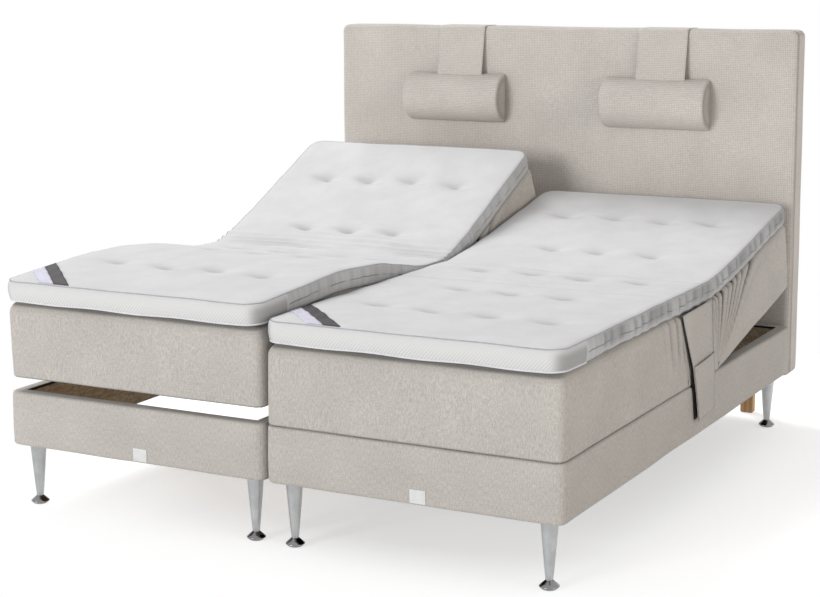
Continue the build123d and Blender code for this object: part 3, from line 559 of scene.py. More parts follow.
@dataclass(frozen=True)
class KnitCloth(Finish):
    """Soft white stretch knit on the lying surface."""

    def lay_out(self, bench: NodeBench, base: Sequence[float]) -> None:
        """Set up the nodes."""
        loops = bench.cells("cloth", (420, 300, 420), "Distance")
        cloudy = bench.noise("cloth", (9, 9, 9), 4.0)
        # painted shade in the quilted dips and puckers, read from the mesh
        bench.paint(bench.shaded(bench.mix(bench.level(cloudy, 0.35, 0.65), scaled(base, 0.93), base), 0.22))
        crumple = bench.noise("cloth", (22, 34, 22), 4.0)
        bench.raise_surface(bench.weighed((loops, 0.25), (crumple, 1.6)), 0.22, 0.003)
        bench.set(Roughness=0.85, Sheen_Weight=0.15, Specular_IOR_Level=0.25)


@dataclass(frozen=True)
class RibbedMesh(Finish):
    """White spacer mesh with slanting ribs, on the topper's foot border."""

    ribs_per_metre: float = 98.0
    slant: float = 0.95

    def lay_out(self, bench: NodeBench, base: Sequence[float]) -> None:
        """Set up the nodes."""
        along, height, _ = bench.add("ShaderNodeSeparateXYZ", {0: bench.place("border", (1, 1, 1))}).outputs
        across = bench.math("SUBTRACT", along, bench.math("MULTIPLY", height, self.slant))
        phase = bench.math("MULTIPLY", across, 2 * math.pi * self.ribs_per_metre)
        rib = bench.math("ABSOLUTE", bench.math("SINE", bench.math("MULTIPLY", phase, 0.5)))
        grain = bench.noise("border", (800, 800, 800))
        upper = bench.level(height, 0.020, 0.062, 0.0, 0.45)
        tone = bench.level(bench.weighed((rib, 1.0), (upper, 1.0), (grain, 0.3)), 0.25, 0.75)
        # painted shade where the border turns to face sideways, read from the mesh
        bench.paint(bench.shaded(bench.mix(tone, scaled(base, 0.80), base), 0.42))
        bench.raise_surface(bench.weighed((rib, 1.0), (grain, 0.3)), 0.3, 0.0010)
        bench.set(Roughness=0.8, Specular_IOR_Level=0.25)


@dataclass(frozen=True)
class SideKnit(Finish):
    """Grey border knit of the topper's long sides, with a hidden zip along its middle."""

    zip_height: float = 0.031

    def lay_out(self, bench: NodeBench, base: Sequence[float]) -> None:
        """Set up the nodes."""
        grain = bench.noise("border", (260, 500, 260), 3.0)
        streak = bench.noise("border", (70, 8, 70))
        height = bench.add("ShaderNodeSeparateXYZ", {0: bench.place("border", (1, 1, 1))}).outputs[1]
        drift = bench.math("SUBTRACT", bench.noise("border", (14, 0, 0), 1.0), 0.5)
        gap = bench.math("SUBTRACT", bench.weighed((height, 1.0), (drift, 0.012)), self.zip_height)
        line = bench.level(bench.math("ABSOLUTE", gap), 0.0008, 0.0022, 1.0, 0.0)
        broken = bench.level(bench.noise("border", (13, 0, 0), 1.0), 0.45, 0.52)
        tone = bench.level(bench.weighed((grain, 0.5), (streak, 0.5)), 0.35, 0.65)
        # painted shade in the side knit's puckers, read from the mesh
        cloth = bench.shaded(bench.mix(tone, scaled(base, 0.8), base), 0.50)
        bench.paint(bench.mix(bench.math("MULTIPLY", line, broken), cloth, scaled(base, 0.36)))
        bench.raise_surface(bench.weighed((grain, 0.5), (line, -1.0)), 0.4, 0.0012)
        bench.set(Roughness=0.88, Sheen_Weight=0.1, Specular_IOR_Level=0.2)


@dataclass(frozen=True)
class PlainCloth(Finish):
    """Fine plain cloth or tape, such as piping and labels."""

    roughness: float = 0.8
    sheen: float = 0.1

    def lay_out(self, bench: NodeBench, base: Sequence[float]) -> None:
        """Set up the nodes."""
        thread = bench.noise(None, (900.0,) * 3)
        tone = bench.weighed((thread, 0.6), (bench.noise(None, (30, 30, 30)), 0.4))
        bench.paint(bench.mix(bench.level(tone, 0.38, 0.62), scaled(base, 0.8), base))
        bench.raise_surface(thread, 0.3, 0.0006)
        bench.set(Roughness=self.roughness, Sheen_Weight=self.sheen, Specular_IOR_Level=0.12)


@dataclass(frozen=True)
class SheetMetal(Finish):
    """Metal with a fine brushed or rolled grain and faint handling marks."""

    roughness: float
    metallic: float = 1.0
    grain: tuple[float, float, float] = (60.0, 60.0, 900.0)
    depth: float = 0.05

    def lay_out(self, bench: NodeBench, base: Sequence[float]) -> None:
        """Set up the nodes."""
        brushed, marks = bench.noise(None, self.grain, 3.0), bench.noise(None, (25, 25, 25), 5.0)
        bench.paint(bench.mix(bench.level(marks, 0.4, 0.65), scaled(base, 0.86), base))
        worn = bench.weighed((brushed, 0.6), (marks, 0.4))
        rough = bench.level(worn, 0.3, 0.7, self.roughness * 0.8, self.roughness * 1.25)
        bench.link(rough, bench.shader.inputs["Roughness"])
        bench.raise_surface(brushed, self.depth, 0.0004)
        bench.set(Metallic=self.metallic)


@dataclass(frozen=True)
class Timber(Finish):
    """Board or sawn timber with grain along one axis."""

    dark: tuple[int, int, int]
    grain: tuple[float, float, float]
    chips: bool = False

    def lay_out(self, bench: NodeBench, base: Sequence[float]) -> None:
        """Set up the nodes."""
        streaks = bench.noise(None, self.grain, 5.0, 0.6)
        if self.chips:
            flakes = bench.cells(None, (240, 60, 240), "Color")
            grey = bench.add("ShaderNodeSeparateColor", {0: flakes}).outputs[0]
            streaks = bench.weighed((streaks, 0.6), (grey, 0.4))
        bench.paint(bench.mix(bench.level(streaks, 0.35, 0.68), linear(*self.dark), base))
        bench.raise_surface(streaks, 0.25, 0.0008)
        bench.set(Roughness=0.68, Specular_IOR_Level=0.3)


@dataclass(frozen=True)
class GrainedPlastic(Finish):
    """Moulded plastic with a spark-eroded grain."""

    def lay_out(self, bench: NodeBench, base: Sequence[float]) -> None:
        """Set up the nodes."""
        cloud = bench.noise(None, (18, 18, 18), 4.0)
        bench.paint(bench.mix(bench.level(cloud, 0.35, 0.7), base, scaled(base, 1.5, 0.004)))
        bench.raise_surface(bench.noise(None, (1500,) * 3, 1.0), 0.25, 0.0003)
        bench.set(Roughness=0.48)


class Finishes:
    """All finishes of the bed, made once."""

    def __init__(self) -> None:
        """Make every material."""
        self.base = WovenCloth("base_cloth", (198, 193, 186)).make()
        self.head = WovenCloth("headboard_cloth", (206, 200, 193), square=True).make()
        self.knit = KnitCloth("topper_knit", (222, 222, 223)).make()
        self.mesh = RibbedMesh("topper_mesh", (226, 226, 225)).make()
        self.side = SideKnit("topper_side", (208, 209, 209)).make()
        self.grey_piping = PlainCloth("grey_piping", (190, 189, 198)).make()
        self.white_piping = PlainCloth("white_piping", (240, 241, 246)).make()
        self.dark_piping = PlainCloth("side_piping", (150, 151, 153)).make()
        # Dark lining of the box bottoms and the headboard's back; the same cloth makes the dark sheet of painted
        # shade behind the pocket panel.
        self.lining_and_shade_sheet = PlainCloth("dark_lining", (52, 50, 50)).make()
        self.band_white = PlainCloth("label_white", (222, 221, 238), roughness=0.5).make()
        self.band_grey = PlainCloth("label_grey", (66, 62, 63), roughness=0.6, sheen=0.0).make()
        self.thread = PlainCloth("thread", (176, 170, 164)).make()
        self.tape = PlainCloth("edge_tape", (38, 36, 36)).make()
        self.leg = SheetMetal("leg_satin", (186, 187, 188), 0.34, grain=(40, 40, 1400)).make()
        self.chrome = SheetMetal("glide_chrome", (138, 138, 140), 0.14, depth=0.0).make()
        self.plate = SheetMetal("plate_brushed", (201, 201, 200), 0.5, grain=(1500, 60, 60)).make()
        self.zinc = SheetMetal("zinc_steel", (172, 174, 178), 0.36).make()
        self.steel = SheetMetal("black_steel", (40, 41, 43), 0.45, metallic=0.25).make()
        self.iron = SheetMetal("coated_iron", (34, 35, 36), 0.6, metallic=0.1, grain=(300, 300, 300),
                               depth=0.3).make()
        self.plastic = GrainedPlastic("motor_plastic", (30, 31, 33)).make()
        self.board = Timber("rail_board", (214, 194, 166), (176, 156, 128), (12, 3, 90), chips=True).make()
        self.timber = Timber("leg_timber", (222, 184, 142), (188, 146, 104), (90, 90, 5)).make()
        self.panel = Timber("panel_board", (198, 168, 126), (160, 126, 86), (5, 40, 120)).make()

    def carried(self) -> dict[str, Material]:
        """List the finish of each CAD node that stays in view.

        Returns:
            Material by the ending or name of the node.
        """
        return {
            "frame_rails": self.board, "corner_blocks": self.board, "legs": self.leg, "leg_glides": self.chrome,
            "cross_beams": self.steel, "drive_housings": self.plastic,
            "hinge_pins": self.zinc, "knee_pins": self.zinc,
            "headboard_core": self.board, "headboard_battens": self.timber, "headboard_bolts": self.zinc,
            "trim_plates": self.plate, "_panel": self.panel, "_lift": self.steel, "_rollers": self.plastic,
            "_calf_stays": self.steel, "_counterweight": self.iron,
        }


# ------------------------------------------------------------------ one unit's bending line
@dataclass
class BendLine:
    """How one unit's flat cloth follows its four sections at rest."""

    side: Side
    head_hinge: float = 1.230
    thigh_hinge: float = 0.950
    knee_y: float = 0.555
    box_length: float = 1.992
    deck: float = 0.5903
    head_span: tuple[float, float] = (1.100, 1.480)
    hip_span: tuple[float, float] = (1.010, 0.850)
    knee_span: tuple[float, float] = (0.690, 0.420)
    shift: float = field(init=False)
    centre: float = field(init=False)
    head_pin: tuple[float, float] = field(init=False)
    thigh_pin: tuple[float, float] = field(init=False)
    head_turn: float = field(init=False)
    thigh_turn: float = field(init=False)
    knee_turn: float = field(init=False)

    def __post_init__(self) -> None:
        """Read the hinges and the resting turns from the CAD joints."""
        head, thigh = joint(f"{self.side.value}_head_tilt"), joint(f"{self.side.value}_thigh_tilt")
        knee = joint(f"{self.side.value}_knee_bend")
        self.centre = head["pos_m"][0]
        self.shift = head["pos_m"][1] - self.head_hinge
        self.head_pin, self.thigh_pin = (self.head_hinge, head["pos_m"][2]), (self.thigh_hinge, thigh["pos_m"][2])
        self.head_turn = -math.radians(head["range_deg"][0])
        self.thigh_turn = -math.radians(thigh["range_deg"][0])
        self.knee_turn = math.radians(knee["range_deg"][1])

    def rigid(self, section: Section, points: Array) -> Array:
        """Move flat (y, z) places with one section.

        Args:
            section: the section that carries them.
            points: rows of (y, z) with the unit flat.

        Returns:
            The rows at rest.
        """
        if section is Section.HEAD:
            return turned(points, self.head_pin, self.head_turn)
        if section is Section.CALF:
            points = turned(points, (self.knee_y, self.thigh_pin[1]), self.knee_turn)
        if section in (Section.CALF, Section.THIGH):
            return turned(points, self.thigh_pin, -self.thigh_turn)
        return points

    def deck_line(self, s: Array) -> tuple[Array, Array]:
        """Follow the top of the padded box along the bed.

        Args:
            s: flat lengths from the foot end.

        Returns:
            The (y, z) places and the directions along the line.
        """
        points = np.zeros((len(s), 2))
        for section, test in (
            (Section.HEAD, s > 0), (Section.SEAT, s <= self.head_span[1]),
            (Section.THIGH, s <= self.hip_span[1]), (Section.CALF, s <= self.knee_span[1]),
        ):
            flat = np.stack([s, np.full_like(s, self.deck)], axis=1)
            points[test] = self.rigid(section, flat[test])
        for (a, b), first, second in (
            (self.head_span, Section.SEAT, Section.HEAD),
            (self.hip_span, Section.SEAT, Section.THIGH),
            (self.knee_span, Section.THIGH, Section.CALF),
        ):
            low, high = min(a, b), max(a, b)
            inside = (s > low) & (s < high)
            if low == b:
                first, second = second, first
            ends = [self.rigid(section, np.array([[at, self.deck], [at + 0.01, self.deck]]))
                    for section, at in ((first, low), (second, high))]
            start, finish = ends[0][0], ends[1][0]
            pull = np.linalg.norm(finish - start) * 0.62
            t = ((s[inside] - low) / (high - low))[:, None]
            lead, trail = [(end[1] - end[0]) / 0.01 * pull for end in ends]
            points[inside] = (start * (2 * t**3 - 3 * t**2 + 1) + lead * (t**3 - 2 * t**2 + t)
                              + finish * (3 * t**2 - 2 * t**3) + trail * (t**3 - t**2))
        step = np.gradient(points, s, axis=0)
        return points, step / np.linalg.norm(step, axis=1, keepdims=True)

    def whole_deck(self) -> tuple[Array, Array, Array]:
        """Give closely spaced flat lengths over the whole box, their places and their directions."""
        fine = np.linspace(-0.03, self.box_length + 0.03, 2400)
        return fine, *self.deck_line(fine)

    def lay(self, x: Array, s: Array, lift: Array) -> Array:
        """Lay flat cloth on the deck line.

        Args:
            x: places across the unit, from its middle.
            s: flat lengths from the foot end.
            lift: heights above the deck, square to it.

        Returns:
            Rows of places in the frame of the CAD model.
        """
        fine, points, along = self.whole_deck()
        y, z = np.interp(s, fine, points[:, 0]), np.interp(s, fine, points[:, 1])
        ty, tz = np.interp(s, fine, along[:, 0]), np.interp(s, fine, along[:, 1])
        size = np.hypot(ty, tz)
        return np.stack([self.centre + x, y - tz / size * lift + self.shift, z + ty / size * lift], axis=1)

    def stand(self, x: Array, bent: Array) -> Array:
        """Give places in the frame of the CAD model, from x across the unit and rows of (y, z) at rest."""
        return np.stack([self.centre + x, bent[:, 0] + self.shift, bent[:, 1]], axis=1)

    def world(self, section: Section, y: float, z: float) -> Vector:
        """Give a flat place carried by a section, in the frame of the CAD model."""
        point = self.rigid(section, np.array([[y, z]]))[0]
        return Vector((self.centre, point[0] + self.shift, point[1]))

    def bend(self, first: Section, start: float, second: Section, end: float, height: float) -> tuple:
        """Give the two bodies of a bend, then its start and end, from flat lengths and a height."""
        bodies = ["base" if part is Section.SEAT else f"{self.side.value}_{part.value}"
                  for part in (first, second)]
        return *bodies, self.world(first, start, height), self.world(second, end, height)


# ------------------------------------------------------------------ geometry nodes
class PathTree:
    """Geometry Nodes tree that makes a mesh along curves."""

    def __init__(self, name: str, *inputs: tuple[str, str]) -> None:
        """Start the tree.

        Args:
            name: the tree's name.
            inputs: name and socket type of each input after the curves.
        """
        self.tree = bpy.data.node_groups.new(name, "GeometryNodeTree")
        socket = self.tree.interface.new_socket
        socket("Geometry", in_out="INPUT", socket_type="NodeSocketGeometry")
        self.keys = [socket(key, in_out="INPUT", socket_type=f"NodeSocket{kind}").identifier
                     for key, kind in inputs]
        socket("Geometry", in_out="OUTPUT", socket_type="NodeSocketGeometry")
        self.source, self.result = self.tree.nodes.new("NodeGroupInput"), self.tree.nodes.new("NodeGroupOutput")

    def nodes(self, *kinds: str) -> list[bpy.types.Node]:
        """Add nodes, by their type without its first word."""
        return [self.tree.nodes.new(f"GeometryNode{kind}") for kind in kinds]

    def join(self, *links: tuple[bpy.types.Node, str | int, bpy.types.Node, str | int]) -> None:
        """Link nodes, each from an output of the first to an input of the second."""
        for start, output, end, target in links:
            self.tree.links.new(start.outputs[output], end.inputs[target])

    def run(self, name: str, paths: list[Array], *values: object) -> Piece:
        """Make the mesh along paths.

        Args:
            name: the piece's name.
            paths: rows of places for each path.
            values: one value for each input.

        Returns:
            A plain mesh object.
        """
        curve = bpy.data.curves.new(f"{name}_path", "CURVE")
        curve.dimensions = "3D"
        for path in paths:
            spline = curve.splines.new("POLY")
            spline.points.add(len(path) - 1)
            spline.points.foreach_set("co", np.c_[path, np.ones(len(path))].ravel())
        holder = shown(f"{name}_path", curve)
        modifier = holder.modifiers.new(self.tree.name, "NODES")
        modifier.node_group = self.tree
        for key, value in zip(self.keys, values):
            modifier[key] = value
        bpy.context.view_layer.update()
        graph = bpy.context.evaluated_depsgraph_get()
        mesh = bpy.data.meshes.new_from_object(holder.evaluated_get(graph), depsgraph=graph)
        bpy.data.objects.remove(holder)
        mesh.name = name
        return shown(name, mesh)


class TubeAlongPath(PathTree):
    """Sweeps a round section along curves."""

    facets = 8

    def __init__(self) -> None:
        """Build the tree."""
        super().__init__("tube_along_path", ("Radius", "Float"), ("Facets", "Int"), ("Finish", "Material"))
        ring, sweep, shade, real, paint = self.nodes(
            "CurvePrimitiveCircle", "CurveToMesh", "SetShadeSmooth", "RealizeInstances", "SetMaterial")
        sweep.inputs["Fill Caps"].default_value = True
        self.join(
            (self.source, "Facets", ring, "Resolution"), (self.source, "Radius", ring, "Radius"),
            (self.source, "Geometry", sweep, "Curve"), (ring, "Curve", sweep, "Profile Curve"),
            (sweep, "Mesh", shade, 0), (shade, 0, real, 0), (real, 0, paint, "Geometry"),
            (self.source, "Finish", paint, "Material"), (paint, 0, self.result, 0),
        )

    def sweep(self, name: str, paths: list[Array], radius: float, finish: Material) -> Piece:
        """Make tubes of one radius along paths."""
        return self.run(name, paths, radius, self.facets, finish)


class StitchRow(PathTree):
    """Sets short stitches along curves."""

    stitch_shape = (0.35, 0.35, 1.6)

    def __init__(self) -> None:
        """Build the tree."""
        super().__init__("stitch_row", ("Pitch", "Float"), ("Size", "Float"), ("Finish", "Material"))
        points, bead, shape, place, real, paint = self.nodes(
            "CurveToPoints", "MeshIcoSphere", "Transform", "InstanceOnPoints", "RealizeInstances", "SetMaterial")
        points.mode = "LENGTH"
        bead.inputs["Subdivisions"].default_value = 1
        shape.inputs["Scale"].default_value = self.stitch_shape
        self.join(
            (self.source, "Geometry", points, "Curve"), (self.source, "Pitch", points, "Length"),
            (self.source, "Size", bead, "Radius"), (bead, "Mesh", shape, "Geometry"),
            (points, "Points", place, "Points"), (points, "Rotation", place, "Rotation"),
            (shape, 0, place, "Instance"), (place, 0, real, 0), (real, 0, paint, "Geometry"),
            (self.source, "Finish", paint, "Material"), (paint, 0, self.result, 0),
        )

    def sew(self, name: str, paths: list[Array], pitch: float, size: float, finish: Material) -> Piece:
        """Sew stitches along paths, each about twice the size long."""
        return self.run(name, paths, pitch, size, finish)


@dataclass
class Workshop:
    """What every sub-assembly shares."""

    finishes: Finishes
    tubes: TubeAlongPath
    stitches: StitchRow

    def settle(self, piece: Piece, slot: str, fill: float | None, body: str | tuple,
               replaces: Sequence[str] = ()) -> Piece:
        """Attach a finished piece to its body, or fix its place where it spans a bend, and hide the CAD nodes it
        stands for.

        Args:
            piece: the finished mesh.
            slot: the record's material slot; not used.
            fill: how tightly it is stuffed, or None if it isn't padded; not used.
            body: a body's name, or two bodies with the start and end of the bend between them.
            replaces: the CAD nodes it stands for.

        Returns:
            The piece.
        """
        if isinstance(body, str):
            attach(piece, body)
        else:
            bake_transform(piece)
        if replaces:
            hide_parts(*replaces)
        LOG.info("%s: %d faces", piece.name, len(piece.data.polygons))
        return piece


# ------------------------------------------------------------------ topper
@dataclass
class Topper:
    """The tufted topper of one unit, in three lengths shaped to the sections at rest."""

    shop: Workshop
    line: BendLine
    half_width: float = 0.447
    foot: float = -0.006
    head: float = 1.992
    thickness: float = 0.0695
    lift: float = 0.0006
    corner: float = 0.050
    cuts: tuple[float, float] = (0.775, 1.052)
    border_change: float = 0.155
    tuft_rows: tuple[tuple[float, int], ...] = ((0.327, 4), (0.650, 3), (0.985, 4), (1.355, 3), (1.735, 4))
    tuft_pitch: float = 0.177
    label_band: tuple[float, float, float] = (0.140, 0.194, 0.250)
    label_thickness: float = 0.0008
    bend_height: float = 0.62
    foot_piping_radius: float = 0.0032

    def tufts(self) -> list[tuple[float, float]]:
        """List the tufts.

        Returns:
            Their (x, s) places on the flat topper.
        """
        places = []
        drift = np.random.default_rng(11 if self.line.side is Side.LEFT else 12)
        for s, count in self.tuft_rows:
            for number in range(count):
                x = (number - (count - 1) / 2) * self.tuft_pitch + 0.006
                places.append((x + drift.uniform(-0.008, 0.008), s + drift.uniform(-0.010, 0.010)))
        return places

    def relief(self, x: Array, s: Array) -> Array:
        """Give the height of the quilted surface over the plain one.

        Args:
            x: places across the topper.
            s: flat lengths.

        Returns:
            Heights, all below zero.
        """
        edge = np.minimum(np.minimum(self.half_width - np.abs(x), s - self.foot), self.head - s)
        height = -0.0030 * fading(edge, 0.030)
        nearest = np.full_like(x, 9.0)
        for tx, ts in self.tufts():
            dx, ds = x - tx, s - ts
            distance = np.hypot(dx, ds)
            nearest = np.minimum(nearest, distance)
            height -= 0.0085 * bell(np.hypot(dx, ds * 1.5), 0.052) + 0.0030 * bell(distance, 0.010)
            sweep = ds - 0.16 * np.abs(dx) + 0.6 * dx * dx
            height -= 0.0078 * bell(np.abs(dx + 0.006), 0.058) * bell(sweep, 0.0105)
            height -= 0.0024 * bell(dx - 0.045, 0.045) * bell(ds + 0.022, 0.010)
        height -= 0.0020 * bell(nearest, 0.09)
        flat = np.stack([x, s], axis=1)
        height += 0.0011 * ripple(flat, 21, 0.16) - 0.0015
        bend = bump((s - 1.20) / 0.22) * min(1.0, self.line.head_turn / 0.436) ** 3
        drift = s + 0.012 * ripple(flat, 5, 0.35)
        creases = np.sin(drift * 2 * math.pi / 0.047) * (0.55 + 0.45 * ripple(flat, 6, 0.3))
        height += 0.0046 * bend * (np.clip(creases, -1.2, 1.2) - 0.4)
        return height

    def highlight_lobes(self, x: Array, s: Array) -> Array:
        """Give the painted highlight lobe beside each tuft, where the painted shade is lifted.

        Args:
            x: places across the topper.
            s: flat lengths.

        Returns:
            How strong the painted highlight is, from 0 to about 1.
        """
        share = np.zeros_like(x)
        for tx, ts in self.tufts():
            dx, ds = x - tx, s - ts
            share += bell(dx - 0.034, 0.024) * bell(ds - 0.25 * dx, 0.0125)
        return 0.85 * share

    def shaped(self, x: Array, s: Array, n: Array) -> tuple[Array, Array, Array]:
        """Round, quilt and pucker places of the flat block, and work out the painted shade of its puckers, dips
        and sides.

        Args:
            x: places across.
            s: flat lengths.
            n: heights in the block.

        Returns:
            The places in the CAD frame, the cloth coordinates and the border coordinates.
        """
        plan = RoundedPlan(self.half_width, self.foot, self.head, 0.0, self.thickness, self.corner, 0.011, 0.010)
        placed, normal, wall, share = plan.apply(np.stack([x, s, n], axis=1))
        on_wall = fading(wall, 0.008)
        belly = np.sin(np.clip(share, 0, 1) * math.pi)
        run = np.where(np.abs(normal[:, 1]) > np.abs(normal[:, 0]), x,
                       np.sign(x) * (self.half_width + (s - self.foot)))
        side_share = smooth((s - self.border_change - 0.03) / 0.10) * np.abs(normal[:, 0])
        row = run[:, None]
        waves = np.abs(np.sin(run * math.pi / 0.072 + 1.1 * ripple(row, 31, 0.22))) ** 0.7
        pucker = 1.0 - 2.0 * waves * (0.7 + 0.3 * ripple(row, 32, 0.30))
        slack = side_share * np.where(np.sign(x) == self.line.side.outward, 1.0, 0.35)
        push = on_wall * (belly * (0.0080 - 0.0035 * np.abs(normal[:, 0]))
                          - 0.0048 * slack * pucker * belly ** 1.5)
        placed[:, :2] += normal * push[:, None]
        sway = np.sin(run * 2 * math.pi / 0.075 + 3 * ripple(row, 33, 0.4))
        placed[:, 2] += on_wall * slack * 0.0016 * sway * belly
        top = smooth((share - 0.55) / 0.45)
        relief = self.relief(placed[:, 0], placed[:, 1])
        placed[:, 2] += top * relief
        placed[:, 2] += 0.0015 * (1 - share) * on_wall * ripple(row, 34, 0.3)
        scallop = 0.5 + 0.5 * np.sin(run * 2 * math.pi / 0.083 + 2 * ripple(row, 35, 0.4))
        placed[:, 2] += 0.0032 * (1 - np.clip(share, 0, 1)) ** 2 * on_wall * slack * scallop
        # Painted shade in the side knit's puckers, in the dips of the quilted top and on the foot border where it
        # turns to face sideways; the painted highlight lobes beside the tufts lift some of it.
        between = smooth((share - 0.1) / 0.3) * smooth((1.0 - share) / 0.2)
        self.painted_darkness = on_wall * slack * np.clip(pucker * 0.5 + 0.5, 0, 1) * between
        self.painted_darkness += top * np.clip(-relief / 0.020 - 0.15, 0, 1) * (wall > 0.05)
        self.painted_darkness -= top * self.highlight_lobes(placed[:, 0], placed[:, 1])
        self.painted_darkness += (on_wall * smooth((np.abs(normal[:, 0]) - 0.25) / 0.6) * (s < self.border_change)
                        * (1 - top))
        world = self.line.lay(placed[:, 0], placed[:, 1], placed[:, 2] + self.lift)
        border = np.stack([run, placed[:, 2], np.zeros_like(run)], axis=1)
        return world, placed, border

    def length(self, name: str, low: float, high: float) -> Piece:
        """Make one length of the topper.

        Args:
            name: the piece's name.
            low: where it starts.
            high: where it ends.

        Returns:
            The mesh with its materials.
        """
        xs = rows(-self.half_width, self.half_width, 0.0105, 0.054)
        low -= CUT_GAP * (low != self.foot)
        high += CUT_GAP * (high != self.head)
        count, rounded = int((high - low) / 0.0095), 0.054
        close = np.array([0, 0.003, 0.008, 0.014, 0.021, 0.029, 0.037, 0.045])
        if low == self.foot:
            spacing = np.concatenate([low + close, np.linspace(low + rounded, high, count)])
        elif high == self.head:
            spacing = np.concatenate([np.linspace(low, high - rounded, count), high - close[::-1]])
        else:
            spacing = np.linspace(low, high, count + 1)
        zs = np.array([0, 0.0025, 0.006, 0.012, 0.020, 0.029, 0.038, 0.047, 0.056, 0.0625, 0.067, self.thickness])
        places, faces = Lattice(xs, spacing, zs).build()
        world, cloth, border = self.shaped(*places.T)
        piece = mesh_object(name, world, faces)
        dress(piece, cloth, self.shop.finishes.knit, self.shop.finishes.mesh, self.shop.finishes.side)
        store(piece, "border", border)
        crease(piece, self.painted_darkness)
        corners = places[faces]
        flat_x, flat_s = square_to(corners, 0), square_to(corners, 1)
        middle = corners[:, :, 1].mean(axis=1)
        rise = corners[:, :, 2].mean(axis=1)
        index = np.zeros(len(faces), dtype=np.int32)
        index[flat_x] = 2
        near_foot, at_low, at_high = middle < self.border_change, middle < low + WELD, middle > high - WELD
        index[(flat_x & near_foot) | (flat_s & at_low)] = 1
        index[flat_s & at_high] = 2
        index[rise < WELD] = 2
        piece.data.polygons.foreach_set("material_index", index)
        cut = flat_s & ((at_low & (low != self.foot)) | (at_high & (high != self.head)))
        shade = np.ones(len(faces), dtype=bool)
        shade[cut] = False
        piece.data.polygons.foreach_set("use_smooth", shade)
        return piece

    def edge_path(self, low: float, high: float, share: float) -> list[Array]:
        """Follow the topper's edge.

        Args:
            low: flat length at which to start.
            high: flat length at which to end.
            share: 0 for the bottom edge, 1 for the top edge.

        Returns:
            Rows of places for each run of the edge.
        """
        n = 0.001 if share == 0 else self.thickness - 0.001
        straight = np.linspace(low, high, int((high - low) / 0.008) + 2)
        across = np.linspace(-self.half_width, self.half_width, 130)[1:-1]
        left = np.stack([np.full_like(straight, -self.half_width), straight], axis=1)
        right = left * (-1.0, 1.0)
        if low == self.foot:
            turns = [np.concatenate([left[::-1], np.stack([across, np.full_like(across, low)], axis=1), right])]
        elif high == self.head:
            turns = [np.concatenate([left, np.stack([across, np.full_like(across, high)], axis=1), right[::-1]])]
        else:
            turns = [left, right]
        return [self.shaped(turn[:, 0], turn[:, 1], np.full(len(turn), n))[0] for turn in turns]

    def labels(self) -> list[Piece]:
        """Make the two plain cloth bands across the foot corner."""
        bands = []
        inner, middle, outer = self.label_band
        for name, low, high, finish in (
            ("white", inner, middle, self.shop.finishes.band_white),
            ("grey", middle, outer, self.shop.finishes.band_grey),
        ):
            count, wide, margin = 40, 9, 0.006
            u, v = np.meshgrid(np.linspace(0, 1, count), np.linspace(low, high, wide), indexing="ij")
            u, v = u.ravel(), v.ravel()
            x = -self.half_width + margin + (v - 2 * margin) * u
            s = self.foot + margin + (v - 2 * margin) * (1 - u)
            faces = quads(np.arange(count * wide).reshape(count, wide))
            world = self.shaped(x, s, np.full_like(x, self.thickness))[0]
            wave = 0.0012 * np.sin(u * 23 + v * 60) * np.sin(u * math.pi)
            world[:, 2] += 0.0014 + wave
            piece = mesh_object(f"{self.line.side.value}_label_{name}", world, faces)
            piece.data.materials.append(finish)
            thicken(piece, self.label_thickness, -1.0)
            bands.append(piece)
        return bands

    def make(self) -> None:
        """Build the three lengths, their piping and the corner labels."""
        side, line, height = self.line.side.value, self.line, self.bend_height
        lengths = (
            ("foot", self.foot, self.cuts[0], ("calf_topper", "thigh_topper"),
             line.bend(Section.THIGH, line.knee_span[0], Section.CALF, line.knee_span[1], height)),
            ("hip", self.cuts[0], self.cuts[1], ("thigh_topper", "topper_waist"),
             line.bend(Section.SEAT, line.hip_span[0] + 0.03, Section.THIGH, line.hip_span[1] - 0.04, height)),
            ("back", self.cuts[1], self.head, ("head_topper", "topper_waist"),
             line.bend(Section.SEAT, line.head_span[0] - 0.03, Section.HEAD, line.head_span[1], height)),
        )
        for name, low, high, nodes, bend in lengths:
            piece = self.length(f"{side}_topper_{name}_part", low, high)
            self.shop.settle(piece, "topper_fabric", 0.7, bend, [f"{side}_{node}" for node in nodes])
            for level, share, radius, finish in (
                ("top", 1, 0.0019, self.shop.finishes.grey_piping),
                ("bottom", 0, 0.0018, self.shop.finishes.dark_piping),
            ):
                paths = self.edge_path(low, high, share)
                piping = self.shop.tubes.sweep(f"{side}_topper_{name}_{level}_piping", paths, radius, finish)
                self.shop.settle(piping, "topper_fabric", None, bend)
        edge = self.edge_path(self.foot, self.border_change, 0)
        foot_piping = self.shop.tubes.sweep(f"{side}_topper_foot_white_piping", edge, self.foot_piping_radius,
                                            self.shop.finishes.white_piping)
        for band in [foot_piping, *self.labels()]:
            self.shop.settle(band, "topper_fabric", None, f"{side}_calf")


